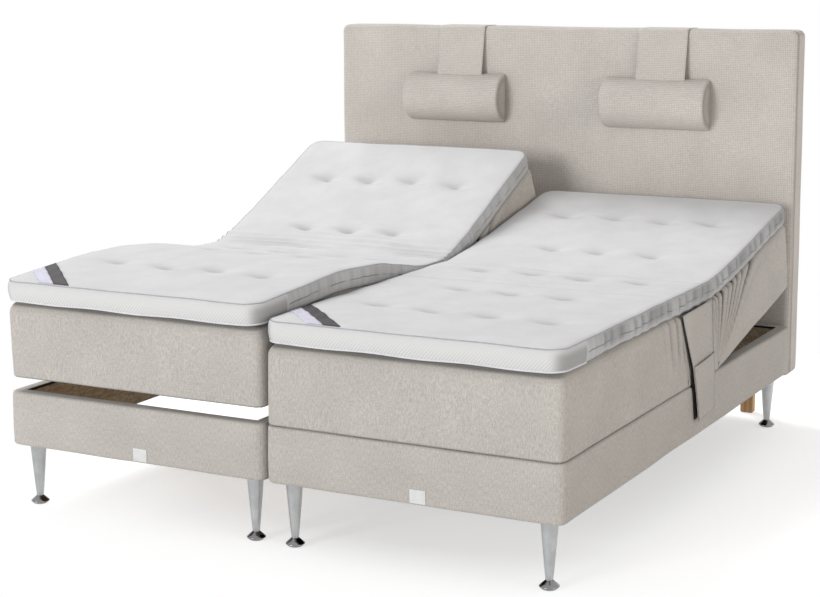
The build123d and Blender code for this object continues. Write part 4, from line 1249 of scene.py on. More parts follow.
# ------------------------------------------------------------------ padded boxes
@dataclass
class PaddedBox:
    """The upholstered box of one unit, in parts that follow its sections."""

    shop: Workshop
    line: BendLine
    half_width: float = 0.4470
    bottom: float = 0.3555
    top: float = 0.590
    corner: float = 0.030
    top_edge: float = 0.020
    foot_edge: float = 0.034
    bottom_edge: float = 0.007
    head_lean: float = math.radians(40.5)
    seat_head_lean: float = math.radians(-20.0)
    seat_thigh_lean: float = math.radians(10.0)
    thigh_lean: float = math.radians(-20.5)
    knee_half: float = 0.150
    pleat_depth: float = 0.0135
    foot_sink: float = 0.0075
    knee_room: float = 0.003

    def heights(self, count: int) -> Array:
        """Space heights over the box, closer near its bottom and top."""
        middle = np.linspace(self.bottom + 0.02, self.top - 0.03, count)
        top = self.top - np.array([0.025, 0.018, 0.011, 0.005, 0])
        return np.concatenate([self.bottom + np.array([0, 0.003, 0.007]), middle, top])

    def plan(self, places: Array, low: float, high: float, top_edge: float | Array,
             **ends: bool) -> tuple[Array, ...]:
        """Round a part of the box that runs from low to high, and give what RoundedPlan.apply gives."""
        return RoundedPlan(self.half_width, low, high, self.bottom, self.top, self.corner, top_edge,
                           self.bottom_edge, **ends).apply(places)

    def pleat(self, angle: Array, radius: Array, seed: int) -> Array:
        """Give the depth of the fan of pleats round a hinge.

        Args:
            angle: angle from upright about the hinge, in radians, with the unit at rest.
            radius: distance from the hinge.
            seed: number that fixes the fan.

        Returns:
            How far the cloth stands in from its side, in metres.
        """
        swing = angle / 0.150 + 0.42 * np.sin(angle * 6.0 + seed) + 0.20 * np.sin(radius * 16.0 + seed)
        share = np.abs(((swing + 0.5) % 1.0) - 0.5) * 2.0
        valley = np.exp(-(share / 0.46) ** 1.5) * (0.75 + 0.25 * np.sin(np.floor(swing + 0.5) * 2.4))
        return (valley - 0.16) * np.clip((radius - 0.02) / 0.16, 0, 1) ** 0.8

    def finish_block(self, name: str, places: Array, faces: Array, cloth: Array, flat: Array) -> Piece:
        """Turn shaped places into a dressed mesh.

        Args:
            name: the piece's name after its side.
            places: rows of places in the CAD frame.
            faces: corner numbers.
            cloth: cloth coordinates.
            flat: marks faces that stay flat-shaded.

        Returns:
            The mesh object.
        """
        piece = mesh_object(f"{self.line.side.value}_{name}", places, faces)
        dress(piece, cloth, self.shop.finishes.base, self.shop.finishes.lining_and_shade_sheet)
        under = np.array([polygon.normal.z < -0.85 for polygon in piece.data.polygons])
        piece.data.polygons.foreach_set("material_index", under.astype(np.int32))
        piece.data.polygons.foreach_set("use_smooth", ~flat)
        return piece

    def soften(self, cloth: Array, wall: Array, share: Array, seed: int) -> Array:
        """Give the outward push of the padding under the cloth."""
        on_wall = fading(wall, 0.02)
        return on_wall * (0.0012 + 0.0016 * np.sin(np.clip(share, 0, 1) * math.pi)
                          + 0.0012 * ripple(cloth, seed, 0.22))

    def leg_part(self) -> Piece:
        """Make the box under calf and thigh, which bends at the knee."""
        pin_y, pin_z = self.line.thigh_pin
        xs = rows(-self.half_width, self.half_width, 0.03, 0.036)
        ss = np.concatenate([[0, 0.003, 0.008, 0.014, 0.021, 0.030], np.linspace(0.045, 0.68, 50),
                             np.linspace(0.687, pin_y, 40)])
        zs = self.heights(10)
        places, faces = Lattice(xs, ss, zs).build()
        top_edge = self.foot_edge + (self.top_edge - self.foot_edge) * smooth((places[:, 1] - 0.35) / 0.40)
        placed, normal, wall, share = self.plan(places, 0.0, pin_y + 1.0, top_edge, round_high=False)
        placed[:, :2] += normal * self.soften(placed, wall, share, 41)[:, None]
        rise = np.maximum(placed[:, 2] - pin_z, 0.0)
        end = pin_y + rise * math.tan(self.thigh_lean) - CUT_GAP
        t = np.clip((placed[:, 1] - 0.62) / (pin_y - 0.62), 0, 1)
        placed[:, 1] = np.where(placed[:, 1] > 0.62, 0.62 + t * (end - 0.62), placed[:, 1])
        sunk = fading(placed[:, 1], 0.05) * smooth((share - 0.55) / 0.45)
        placed[:, 2] -= self.foot_sink * sunk
        bend_room = min(abs(self.line.knee_turn) / 0.1, 1.0) * self.knee_room * smooth((placed[:, 1] - 0.1) / 0.2)
        placed[:, 2] += bend_room * np.clip(1 - share / 0.3, 0, 1)
        drop = self.top - placed[:, 2]
        slack = bump((placed[:, 1] - 0.83 - 0.2 * drop) / 0.15) * smooth((0.19 - drop) / 0.12)
        fold = np.abs(np.sin((placed[:, 1] - 0.22 * drop) * math.pi / 0.052
                             + 0.5 * ripple(placed, 3, 0.2))) ** 0.8
        placed[:, 0] -= normal[:, 0] * np.exp(-wall / 0.02) * 0.0068 * slack * (1 - fold)
        # Painted shade in the hip folds, a painted shadow line under the topper at the foot and painted shade at
        # the seam with the frame.
        shadow = np.exp(-wall / 0.02) * np.abs(normal[:, 0]) * slack * np.clip(1 - fold, 0, 1) ** 1.5 * 0.55
        shadow += fading(placed[:, 1], 0.03) * smooth((share - 0.950) / 0.030) * 0.95
        shadow += np.exp(-wall / 0.004) * smooth((0.030 - share) / 0.025) * 0.6
        weight = smooth((self.line.knee_y + self.knee_half - placed[:, 1]) / (2 * self.knee_half))
        bent = turned(placed[:, 1:], (self.line.knee_y, pin_z), self.line.knee_turn * weight)
        world = self.line.stand(placed[:, 0], turned(bent, self.line.thigh_pin, -self.line.thigh_turn))
        flat = square_to(places[faces], 1) & (places[faces][:, :, 1].mean(axis=1) > pin_y - WELD)
        piece = self.finish_block("leg_box", world, faces, placed, flat)
        crease(piece, shadow)
        return piece

    def seat_part(self) -> Piece:
        """Make the fixed box under the seat."""
        (low_y, pin_z), (high_y, _) = self.line.thigh_pin, self.line.head_pin
        xs = rows(-self.half_width, self.half_width, 0.05, 0.03)
        zs = self.heights(8)
        places, faces = Lattice(xs, np.linspace(0, 1, 24), zs).build()
        rise = np.maximum(places[:, 2] - pin_z, 0.0)
        low = low_y + rise * math.tan(self.seat_thigh_lean) + CUT_GAP
        high = high_y + rise * math.tan(self.seat_head_lean) - CUT_GAP
        raw = places.copy()
        raw[:, 1] = low + places[:, 1] * (high - low)
        placed, normal, wall, share = self.plan(raw, 0.0, 3.0, self.top_edge, round_low=False, round_high=False)
        placed[:, :2] += normal * self.soften(placed, wall, share, 42)[:, None]
        world = placed + np.array([self.line.centre, self.line.shift, 0.0])
        return self.finish_block("seat_box_part", world, faces, placed, square_to(places[faces], 1))

    def head_part(self) -> Piece:
        """Make the box under the back, which tilts at the head hinge."""
        pin_y, pin_z = self.line.head_pin
        far = self.line.box_length
        xs = rows(-self.half_width, self.half_width, 0.03, 0.036)
        ss = np.concatenate([np.linspace(pin_y, pin_y + 0.26, 90), np.linspace(pin_y + 0.272, far - 0.045, 40),
                             far - np.array([0.030, 0.021, 0.014, 0.008, 0.003, 0])])
        zs = self.heights(12)
        places, faces = Lattice(xs, ss, zs).build()
        placed, normal, wall, share = self.plan(places, pin_y - 1.0, far, self.top_edge, round_low=False)
        placed[:, :2] += normal * self.soften(placed, wall, share, 43)[:, None]
        rise = np.maximum(placed[:, 2] - pin_z, 0.0)
        start = pin_y + rise * math.tan(self.head_lean) + CUT_GAP
        t = np.clip((far - 0.30 - placed[:, 1]) / (far - 0.30 - pin_y), 0, 1)
        placed[:, 1] = np.where(placed[:, 1] < far - 0.30, far - 0.30 - t * (far - 0.30 - start), placed[:, 1])
        angle = np.arctan2(placed[:, 1] - pin_y, np.maximum(placed[:, 2] - pin_z, 1e-4)) - self.line.head_turn
        radius = np.hypot(placed[:, 1] - pin_y, placed[:, 2] - pin_z)
        fade = smooth(1.15 - (angle - (self.head_lean - self.line.head_turn)) / math.radians(32)) * (rise > 0)
        pleats = np.exp(-wall / 0.02) * fade * self.pleat(angle, radius, 2)
        placed[:, 0] -= normal[:, 0] * self.pleat_depth * pleats
        world = self.line.stand(placed[:, 0], turned(placed[:, 1:], self.line.head_pin, self.line.head_turn))
        flat = square_to(places[faces], 1) & (places[faces][:, :, 1].mean(axis=1) < pin_y + WELD)
        piece = self.finish_block("head_box_part", world, faces, placed, flat)
        # painted shade in the pleat valleys
        crease(piece, np.clip(pleats * 1.8, 0, 1) ** 1.3)
        return piece

    def fold(self, name: str, pin: tuple[float, float], low: float, high: float, depth: float,
             seed: int) -> Piece:
        """Make the pleated cloth that fans out between two parts above a hinge.

        Args:
            name: the piece's name.
            pin: the hinge's (y, z).
            low: lean of its first face from upright, in radians, at rest.
            high: lean of its last face.
            depth: depth of the pleats.
            seed: number that fixes the fan.

        Returns:
            The mesh object.
        """
        side = self.line.side.value
        xs = np.concatenate([[-1, -0.97, -0.9], np.linspace(-0.8, 0.8, 9), [0.9, 0.97, 1]]) * self.half_width
        angles, shares = np.linspace(low, high, 150), np.linspace(0, 1, 22)
        places, faces = Lattice(xs, angles, shares).build()
        x, angle, share = places.T
        _, deck, _ = self.line.whole_deck()
        away, up = deck[:, 0] - pin[0], deck[:, 1] - pin[1]
        bearing = np.arctan2(away, up)
        order = np.argsort(bearing)
        reach = np.interp(angle, bearing[order], np.hypot(away, up)[order]) - 0.0015
        start = 0.0155
        radius = start + share * (reach - start)
        wall = self.half_width - np.abs(x)
        edge = np.clip((radius - (reach - self.top_edge)) / self.top_edge, 0, 1)
        inset = (1 - np.sqrt(np.clip(1 - edge**2, 0, 1))) * self.top_edge
        fan = self.pleat(angle, radius, seed) * smooth((angle - low) / math.radians(9))
        tuck = np.exp(-wall / 0.02)
        offset = np.sign(x) * tuck * (0.0012 - inset - depth * fan)
        y, z = pin[0] + radius * np.sin(angle), pin[1] + radius * np.cos(angle)
        world = np.stack([self.line.centre + x + offset, y + self.line.shift, z], axis=1)
        cloth = np.stack([x, pin[0] + angle * 0.22, radius + pin[1]], axis=1)
        piece = mesh_object(f"{side}_{name}", world, faces)
        dress(piece, cloth, self.shop.finishes.base)
        # painted shade in the pleat valleys of the fan
        crease(piece, tuck * np.clip(fan * 1.8, 0, 1) ** 1.3 * (depth / self.pleat_depth))
        piece.data.polygons.foreach_set("use_smooth", ~square_to(places[faces], 1))
        return piece

    def make(self) -> None:
        """Build and settle the parts of the box."""
        side, line, settle, margin, height = self.line.side.value, self.line, self.shop.settle, 0.002, 0.58
        knee_low, knee_high = line.knee_y - self.knee_half, line.knee_y + self.knee_half
        knee_bend = line.bend(Section.THIGH, knee_high, Section.CALF, knee_low, 0.48)
        leg_nodes = [f"{side}_calf_box", f"{side}_thigh_box"] + (["left_knee_fold"] if side == "left" else [])
        settle(self.leg_part(), "base_fabric", 0.8, knee_bend, leg_nodes)
        settle(self.seat_part(), "base_fabric", 0.8, "base", [f"{side}_seat_box"])
        settle(self.head_part(), "base_fabric", 0.8, f"{side}_head", [f"{side}_head_box"])
        lean = self.head_lean - line.head_turn
        for name, pin, low, high, depth, seed, bend in (
            ("head_fold", line.head_pin, self.seat_head_lean + margin, lean - margin, self.pleat_depth, 2,
             line.bend(Section.SEAT, 1.150, Section.HEAD, line.head_hinge + 0.19, height)),
            ("hip_fold", line.thigh_pin, self.thigh_lean + line.thigh_turn + margin,
             self.seat_thigh_lean - margin, 0.004, 5,
             line.bend(Section.SEAT, 0.985, Section.THIGH, 0.870, height)),
        ):
            settle(self.fold(name, pin, low, high, depth, seed), "base_fabric", 0.5, bend, [f"{side}_seat_folds"])


# ------------------------------------------------------------------ lower frame
@dataclass
class LowerFrame:
    """The padded skin of one lower frame, with its black edge tape inside."""

    shop: Workshop
    line: BendLine
    half_width: float = UNIT_HALF_WIDTH
    length: float = UNIT_LENGTH
    edge_radius: float = 0.009
    bottom: float = 0.190
    top: float = 0.355
    rim: float = 0.038
    padding: float = 0.0163
    corner: float = 0.030

    def ring(self, inset: float, count: int = 10) -> tuple[Array, Array]:
        """Follow the frame's outline.

        Args:
            inset: how far inside the outer face.
            count: points in each round corner.

        Returns:
            Rows of (x, y) and the outward directions.
        """
        radius = max(self.corner - inset, 0.0008)
        hx, hy = self.half_width - inset, self.length / 2 - inset
        points, normals = [], []
        for sx, sy, start in ((1, -1, -90), (1, 1, 0), (-1, 1, 90), (-1, -1, 180)):
            for step in range(count + 1):
                a = math.radians(start + 90 * step / count)
                points.append((sx * (hx - radius) + radius * math.cos(a),
                               sy * (hy - radius) + radius * math.sin(a)))
                normals.append((math.cos(a), math.sin(a)))
            next_long = sx * sy < 0
            span = 2 * ((hy if next_long else hx) - radius)
            direction = {-90: (0, 1), 0: (-1, 0), 90: (0, -1), 180: (1, 0)}[start]
            last, normal = points[-1], normals[-1]
            pieces = 50 if next_long else 22
            for step in range(1, pieces):
                share = span * step / pieces
                points.append((last[0] + direction[0] * share, last[1] + direction[1] * share))
                normals.append(normal)
        return np.array(points), np.array(normals)

    def swept(self, name: str, profile: list[tuple[float, float]], swell: float, seed: int) -> Piece:
        """Sweep a closed profile round the frame.

        Args:
            name: the piece's name.
            profile: (inset, z) points of the cross-section.
            swell: how far the padding may swell.
            seed: number that fixes the swell.

        Returns:
            The mesh object.
        """
        sheets, cloths = [], []
        for inset, z in profile:
            points, normals = self.ring(inset)
            outer, _ = self.ring(0.0)
            share = (z - self.bottom) / (self.top - self.bottom)
            cloths.append(np.c_[outer, np.full(len(outer), z)])
            push = np.zeros(len(points))
            if inset < self.padding * 0.7:
                swelling = 0.5 + 0.9 * math.sin(math.pi * min(max(share, 0), 1))
                push = swell * (swelling + 0.7 * ripple(cloths[-1], seed, 0.25))
                away = np.maximum(np.abs(outer[:, 0] - 0.030) - 0.030, (z - 0.238) * 1.5)
                push *= np.where(outer[:, 1] < 0, smooth(away / 0.040), 1.0)
            points = points + normals * push[:, None]
            x, y = points[:, 0] + self.line.centre, points[:, 1] + self.length / 2 + self.line.shift
            sheets.append(np.c_[x, y, np.full(len(points), z)])
        stacked = np.array(sheets)
        m, n = stacked.shape[:2]
        grid = np.arange(m * n).reshape(m, n)
        piece = mesh_object(name, stacked.reshape(-1, 3), band(np.vstack([grid, grid[:1]])))
        store(piece, "cloth", np.array(cloths).reshape(-1, 3))
        outward(piece)
        return piece

    def make(self) -> None:
        """Build and settle the skin and the tape."""
        side = self.line.side.value
        turns, r = np.radians(np.linspace(0, 90, 7)), self.edge_radius
        arc = [(r - r * math.sin(a), self.top - r + r * math.cos(a)) for a in turns]
        low_arc = [(r - r * math.cos(a), self.bottom + r - r * math.sin(a)) for a in turns]
        wall = [(0.0, z) for z in np.linspace(self.top - 0.02, self.bottom + 0.02, 12)]
        profile = [(self.rim, self.top - 0.0045), (self.rim, self.top)] + arc + wall + low_arc
        profile += [(self.rim, self.bottom), (self.rim, self.bottom + 0.0045),
                    (self.padding, self.bottom + 0.0045), (self.padding, self.top - 0.0045)]
        skin = self.swept(f"{side}_frame_skin", profile, 0.0022, 51 if side == "left" else 52)
        skin.data.materials.append(self.shop.finishes.base)
        skin.modifiers.new("edges", "EDGE_SPLIT").split_angle = math.radians(50)
        applied(skin)
        outward_only(skin)
        self.shop.settle(skin, "base_fabric", 0.7, "base", [f"{side}_frame_cover"])
        tape = self.swept(f"{side}_frame_edge_tape", [
            (self.rim + 0.0003, self.top - 0.001), (self.rim + 0.0015, self.top - 0.001),
            (self.rim + 0.0015, self.top - 0.008), (self.rim + 0.0003, self.top - 0.008)], 0.0, 1)
        tape.data.materials.append(self.shop.finishes.tape)
        self.shop.settle(tape, "base_fabric", None, "base")


def outward_only(piece: Piece) -> None:
    """Weld a split mesh again and mark its sharp edges instead."""
    work = bmesh.new()
    work.from_mesh(piece.data)
    bmesh.ops.remove_doubles(work, verts=work.verts, dist=WELD)
    for edge in work.edges:
        if len(edge.link_faces) == 2 and edge.calc_face_angle(0.0) > math.radians(50):
            edge.smooth = False
    work.to_mesh(piece.data)
    work.free()
    piece.data.update()


@dataclass
class Feet:
    """The turned legs and their chrome glides, all of one pattern."""

    shop: Workshop
    sides: int = 56
    inset: tuple[float, float] = (0.060, 0.055)
    leg: tuple[tuple[float, float], ...] = (
        (0.0, 0.0245), (0.0098, 0.0245), (0.0105, 0.0262), (0.0140, 0.062), (0.0195, 0.125), (0.0246, 0.1880),
        (0.0252, 0.1896), (0.0, 0.1896))
    glide: tuple[tuple[float, float], ...] = (
        (0.0, 0.0), (0.0185, 0.0), (0.0205, 0.0008), (0.0270, 0.0072), (0.0278, 0.0086), (0.0274, 0.0098),
        (0.0200, 0.0165), (0.0142, 0.0215), (0.0118, 0.0238), (0.0108, 0.0246), (0.0, 0.0246))

    def turned_part(self, name: str, outline: Sequence[tuple[float, float]], finish: Material) -> Piece:
        """Turn an outline about upright axes at all eight places.

        Args:
            name: the piece's name.
            outline: (radius, height) points from bottom to top.
            finish: the metal.

        Returns:
            The mesh object.
        """
        angles = np.linspace(0, 2 * math.pi, self.sides, endpoint=False)
        profile = np.array(outline)
        ring = np.stack([np.cos(angles), np.sin(angles)], axis=1)
        places, faces = [], []
        for spot in self.spots():
            base = sum(len(block) for block in places)
            for radius, height in profile:
                places.append(np.c_[spot + ring * radius, np.full(self.sides, height)])
            grid = np.arange(len(profile) * self.sides).reshape(len(profile), self.sides) + base
            faces.append(band(grid))
        piece = mesh_object(name, np.concatenate(places), np.concatenate(faces))
        piece.data.materials.append(finish)
        outward(piece)
        outward_only(piece)
        return piece

    def spots(self) -> list[tuple[float, float]]:
        """List the eight places.

        Returns:
            Their (x, y) in the frame of the CAD model.
        """
        spots = []
        for side in Side:
            line = BendLine(side)
            for sx in (-1, 1):
                for y in (self.inset[1], UNIT_LENGTH - self.inset[1]):
                    spots.append((line.centre + sx * (UNIT_HALF_WIDTH - self.inset[0]), y + line.shift))
        return spots

    def blocks(self) -> Piece:
        """Make the timber blocks that hold the legs inside the corners."""
        half, low, high, places, faces = 0.0299, 0.1905, 0.286, [], []
        for x, y in self.spots():
            line = np.linspace(-half, half, 4)
            block, skin = Lattice(line, line, np.linspace(low, high, 5)).build()
            shaped = RoundedPlan(half, -half, half, low, high, 0.003, 0.003, 0.003).apply(block)[0]
            inward = np.array([-math.copysign(0.008, x - math.copysign(0.455, x)), -math.copysign(0.013, y), 0.0])
            places.append(shaped + np.array([x, y, 0.0]) + inward)
            faces.append(skin + sum(len(part) for part in places[:-1]))
        piece = mesh_object("leg_blocks", np.concatenate(places), np.concatenate(faces), smooth_shading=False)
        piece.data.materials.append(self.shop.finishes.board)
        return piece

    def make(self) -> None:
        """Build and settle legs, glides and corner blocks."""
        self.shop.settle(self.blocks(), "timber", None, "base", ["corner_blocks"])
        legs = self.turned_part("turned_legs", self.leg, self.shop.finishes.leg)
        self.shop.settle(legs, "leg_metal", None, "base", ["legs"])
        glides = self.turned_part("turned_glides", self.glide, self.shop.finishes.chrome)
        self.shop.settle(glides, "bright_metal", None, "base", ["leg_glides"])


# ------------------------------------------------------------------ headboard
@dataclass
class Headboard:
    """The shared padded headboard, with a sewn edge round its front."""

    shop: Workshop
    edge: float = 0.022
    hem: float = 0.03
    corner: float = 0.024
    hang: float = 0.020

    def make(self) -> None:
        """Build and settle the headboard's cover."""
        low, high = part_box("headboard_cover")
        half, bottom, top = high.x, low.z - self.hang, high.z
        xs = rows(-half, half, 0.03, 0.032)
        zs = rows(bottom, top, 0.03, 0.032)
        depth = high.y - low.y
        ns = np.concatenate([[0, 0.002, 0.006], np.linspace(0.012, depth - 0.03, 8),
                             depth - np.array([0.022, 0.016, 0.010, 0.004, 0])])
        places, faces = Lattice(xs, zs, ns).build()
        plan = RoundedPlan(half, bottom, top, 0.0, depth, self.corner, self.edge, 0.006)
        placed, normal, wall, share = plan.apply(places)
        field_points = placed.copy()
        front = smooth((share - 0.5) / 0.5)
        crown = np.minimum(half - np.abs(placed[:, 0]), np.minimum(placed[:, 1] - bottom, top - placed[:, 1]))
        placed[:, 2] -= front * 0.0035 * fading(crown, 0.06)
        placed[:, 2] += front * 0.0012 * ripple(field_points, 61, 0.35) - front * 0.0012
        groove = np.exp(-(((depth - placed[:, 2]) - self.edge - 0.001) / 0.0026) ** 2) * np.exp(-wall / 0.004)
        push = np.exp(-wall / 0.01) * (0.0010 + 0.0010 * ripple(field_points, 62, 0.3)) - 0.0022 * groove
        placed[:, :2] += normal * push[:, None]
        world = np.stack([placed[:, 0], high.y - placed[:, 2], placed[:, 1]], axis=1)
        cloth = np.stack([placed[:, 0], placed[:, 2], placed[:, 1]], axis=1)
        corners = places[faces]
        back = square_to(corners, 2) & (corners[:, :, 2].mean(axis=1) < LEVEL)
        piece = mesh_object("headboard_padding", world, faces)
        dress(piece, cloth, self.shop.finishes.head, self.shop.finishes.lining_and_shade_sheet)
        # the groove is real; its darkening is painted shade
        crease(piece, groove * 0.8)
        piece.data.polygons.foreach_set("material_index", back.astype(np.int32))
        outward(piece)
        self.shop.settle(piece, "headboard_fabric", 0.75, "base", ["headboard_cover", "headboard_core"])
        across, upper, lower = half - self.hem, top - self.hem, bottom + self.hem
        corners = [(across, upper), (across, lower), (-across, lower), (-across, upper)]
        path = np.array([[x, high.y + 0.0004, z] for x, z in corners])
        stitches = self.shop.stitches.sew("headboard_back_stitches", [path], 0.009, 0.0016,
                                          self.shop.finishes.thread)
        self.shop.settle(stitches, "headboard_fabric", None, "base")


# ------------------------------------------------------------------ neck cushions
@dataclass
class NeckCushion:
    """A half-round cushion on a cloth strap that runs over the headboard to a weight."""

    shop: Workshop
    side: Side
    swell: float = 0.008
    inset: float = 0.003
    cloth: float = 0.0022
    strap_half_width: float = 0.0925

    def room(self) -> tuple[Vector, Vector]:
        """Give the lowest and highest corner of the cushion's room in the CAD model."""
        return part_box(f"{self.side.value}_neck_cushion")

    def cushion(self) -> Piece:
        """Make the stuffed cushion."""
        low, high = self.room()
        half, radius = (high.x - low.x) / 2 - 0.007, (high.z - low.z) / 2 + 0.002
        centre_z = (high.z + low.z) / 2 + 0.011
        depth, back, middle = high.y - low.y - self.inset, high.y - 0.0008, (high.x + low.x) / 2 + 0.004
        ring = []
        for a in np.linspace(-90, 90, 34):
            ring.append((-math.cos(math.radians(a)) * depth, math.sin(math.radians(a)) * radius))
        for z in np.linspace(radius, -radius, 14)[1:-1]:
            ring.append((0.0, z))
        ring = np.array(ring)
        count = len(ring)
        stations = np.linspace(-half, half, 46)
        places = [np.c_[np.full(count, x), ring] for x in stations]
        grid = np.arange(len(stations) * count).reshape(len(stations), count)
        faces = quads(np.c_[grid, grid[:, :1]]).tolist()
        points = np.concatenate(places).tolist()
        for station, first in ((-half, 0), (half, grid[-1, 0])):
            previous = grid[0] if first == 0 else grid[-1]
            for shrink in (0.8, 0.58, 0.36, 0.16):
                base = len(points)
                core = np.array([-depth * 0.35, 0.0])
                for y, z in ring:
                    bulge = 0.010 * (1 - shrink**2) * (1 if station > 0 else -1)
                    points.append([station + bulge, core[0] + (y - core[0]) * shrink,
                                   core[1] + (z - core[1]) * shrink])
                current = np.arange(base, base + count)
                for a in range(count):
                    b = (a + 1) % count
                    faces.append([previous[a], current[a], current[b], previous[b]])
                previous = current
            faces.append(list(previous))
        mesh = bpy.data.meshes.new(f"{self.side.value}_cushion_body")
        mesh.from_pydata([tuple(map(float, p)) for p in points], [], [[int(i) for i in f] for f in faces])
        piece = shown(mesh.name, mesh)
        outward(piece)
        for vertex in mesh.vertices:
            vertex.co = Vector((middle + vertex.co.x, back + vertex.co.y, centre_z + vertex.co.z))
        rest = np.array([vertex.co for vertex in mesh.vertices])
        self.inflate(piece, rest, back)
        mesh = piece.data
        mesh.polygons.foreach_set("use_smooth", [True] * len(mesh.polygons))
        finer = piece.modifiers.new("finer", "SUBSURF")
        finer.levels = finer.render_levels = 1
        applied(piece)
        final = np.array([vertex.co for vertex in piece.data.vertices])
        store(piece, "cloth", final)
        # painted shade on both end faces of the cushion
        crease(piece, 0.34 * smooth((np.abs(final[:, 0] - middle) - half + 0.001) / 0.004))
        piece.data.materials.clear()
        piece.data.materials.append(self.shop.finishes.head)
        return piece

    def inflate(self, piece: Piece, rest: Array, back: float) -> None:
        """Blow the cushion up with a short cloth simulation.

        Args:
            piece: the cushion's mesh.
            rest: its places before.
            back: y of its flat back, which stays flat.
        """
        group = piece.vertex_groups.new(name="back")
        group.add([i for i, p in enumerate(rest) if p[1] > back - 0.002], 1.0, "REPLACE")
        cloth = piece.modifiers.new("stuffing", "CLOTH")
        settings = cloth.settings
        settings.quality, settings.mass = 6, 0.3
        settings.tension_stiffness = settings.compression_stiffness = 15.0
        settings.bending_stiffness = 0.5
        settings.use_pressure, settings.uniform_pressure_force = True, 4.0
        settings.vertex_group_mass = "back"
        settings.effector_weights.gravity = 0.0
        scene = bpy.context.scene
        cloth.point_cache.frame_start, cloth.point_cache.frame_end = 1, 20
        for number in range(1, 21):
            scene.frame_set(number)
        applied(piece)
        scene.frame_set(1)
        moved = np.array([vertex.co for vertex in piece.data.vertices])
        step = moved - rest
        size = np.linalg.norm(step, axis=1, keepdims=True)
        moved = rest + step * np.minimum(1.0, self.swell / np.maximum(size, 1e-9))
        moved[:, 1] = np.minimum(moved[:, 1], self.room()[1].y)
        piece.data.vertices.foreach_set("co", moved.astype(np.float32).ravel())
        piece.data.update()

    def strap_path(self) -> tuple[Array, Array]:
        """Follow the strap from the cushion over the headboard to the weight.

        Returns:
            The (y, z) places of the front part, which ends on top, and of the rear part, which starts there.
        """
        board_low, board_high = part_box("headboard_cover")
        cushion_high = self.room()[1]
        weight_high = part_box(f"{self.side.value}_counterweight")[1]
        gap, radius = 0.0022, 0.021
        top, rear = board_high.z + gap, board_high.y + gap
        centre = np.array([board_low.y + radius - gap, top - radius])
        turns = np.radians(np.linspace(168, 90, 12))
        arc = [centre + radius * np.array([math.cos(a), math.sin(a)]) for a in turns]
        start = np.array([board_low.y - 0.030, cushion_high.z + 0.003])
        down = [start + (arc[0] - start) * t for t in np.linspace(0, 1, 22)[:-1]]
        join = (centre[0] + rear) / 2
        front = down + arc + [np.array([y, top]) for y in np.linspace(centre[0] + 0.008, join, 4)]
        back = [np.array([y, top]) for y in np.linspace(join, rear - 0.008, 5)]
        turns, r = np.radians(np.linspace(75, 0, 6)), 0.008
        back += [np.array([rear - r + r * math.cos(a), top - r + r * math.sin(a)]) for a in turns]
        back += [np.array([rear, z]) for z in np.linspace(top - 0.03, weight_high.z - 0.012, 10)]
        return np.array(front), np.array(back)

    def strap(self, name: str, path: Array, start: float, body: str) -> Piece:
        """Make one part of the cloth strap and settle it.

        Args:
            name: the part's name.
            path: its (y, z) places.
            start: length of strap before it, which keeps the weave in step.
            body: the body at its far end.

        Returns:
            The mesh object.
        """
        cushion_low, cushion_high = self.room()
        middle, half = (cushion_low.x + cushion_high.x) / 2 + 0.022, self.strap_half_width
        run = np.concatenate([[0], np.cumsum(np.linalg.norm(np.diff(path, axis=0), axis=1))])
        us = np.linspace(-1, 1, 23)
        tangent = np.gradient(path, axis=0)
        tangent /= np.linalg.norm(tangent, axis=1, keepdims=True)
        points = []
        for index, (y, z) in enumerate(path):
            slack = bump((run[index] - 0.06) / 0.10) * (start == 0.0)
            for u in us:
                wave = 0.0014 * slack * math.sin(u * 5.0 + 1.3) - 0.0016 * slack * abs(u) ** 3
                along, up = tangent[index] * wave
                points.append((middle + half * u * (1 - 0.012 * slack), y - up, z + along))
        faces = quads(np.arange(len(points)).reshape(len(path), len(us)))
        piece = mesh_object(f"{self.side.value}_strap_{name}", np.array(points), faces)
        cloth = np.array([(u * half, 0.0, r + start) for r in run for u in us])
        dress(piece, cloth, self.shop.finishes.head)
        thicken(piece, self.cloth)
        far, near = (path[0], path[20]) if start == 0.0 else (path[-1], path[12])
        bend = ("base", body, Vector((middle, *near)), Vector((middle, *far)))
        self.shop.settle(piece, "strap_fabric", None, bend, ["cushion_straps"])
        return piece

    def make(self) -> None:
        """Build and settle the cushion and its strap."""
        side = self.side.value
        self.shop.settle(self.cushion(), "headboard_fabric", 0.85, f"{side}_cushion", [f"{side}_neck_cushion"])
        front, back = self.strap_path()
        length = float(np.linalg.norm(np.diff(front, axis=0), axis=1).sum())
        self.strap("front", front, 0.0, f"{side}_cushion")
        self.strap("rear", back, length, f"{side}_weight")


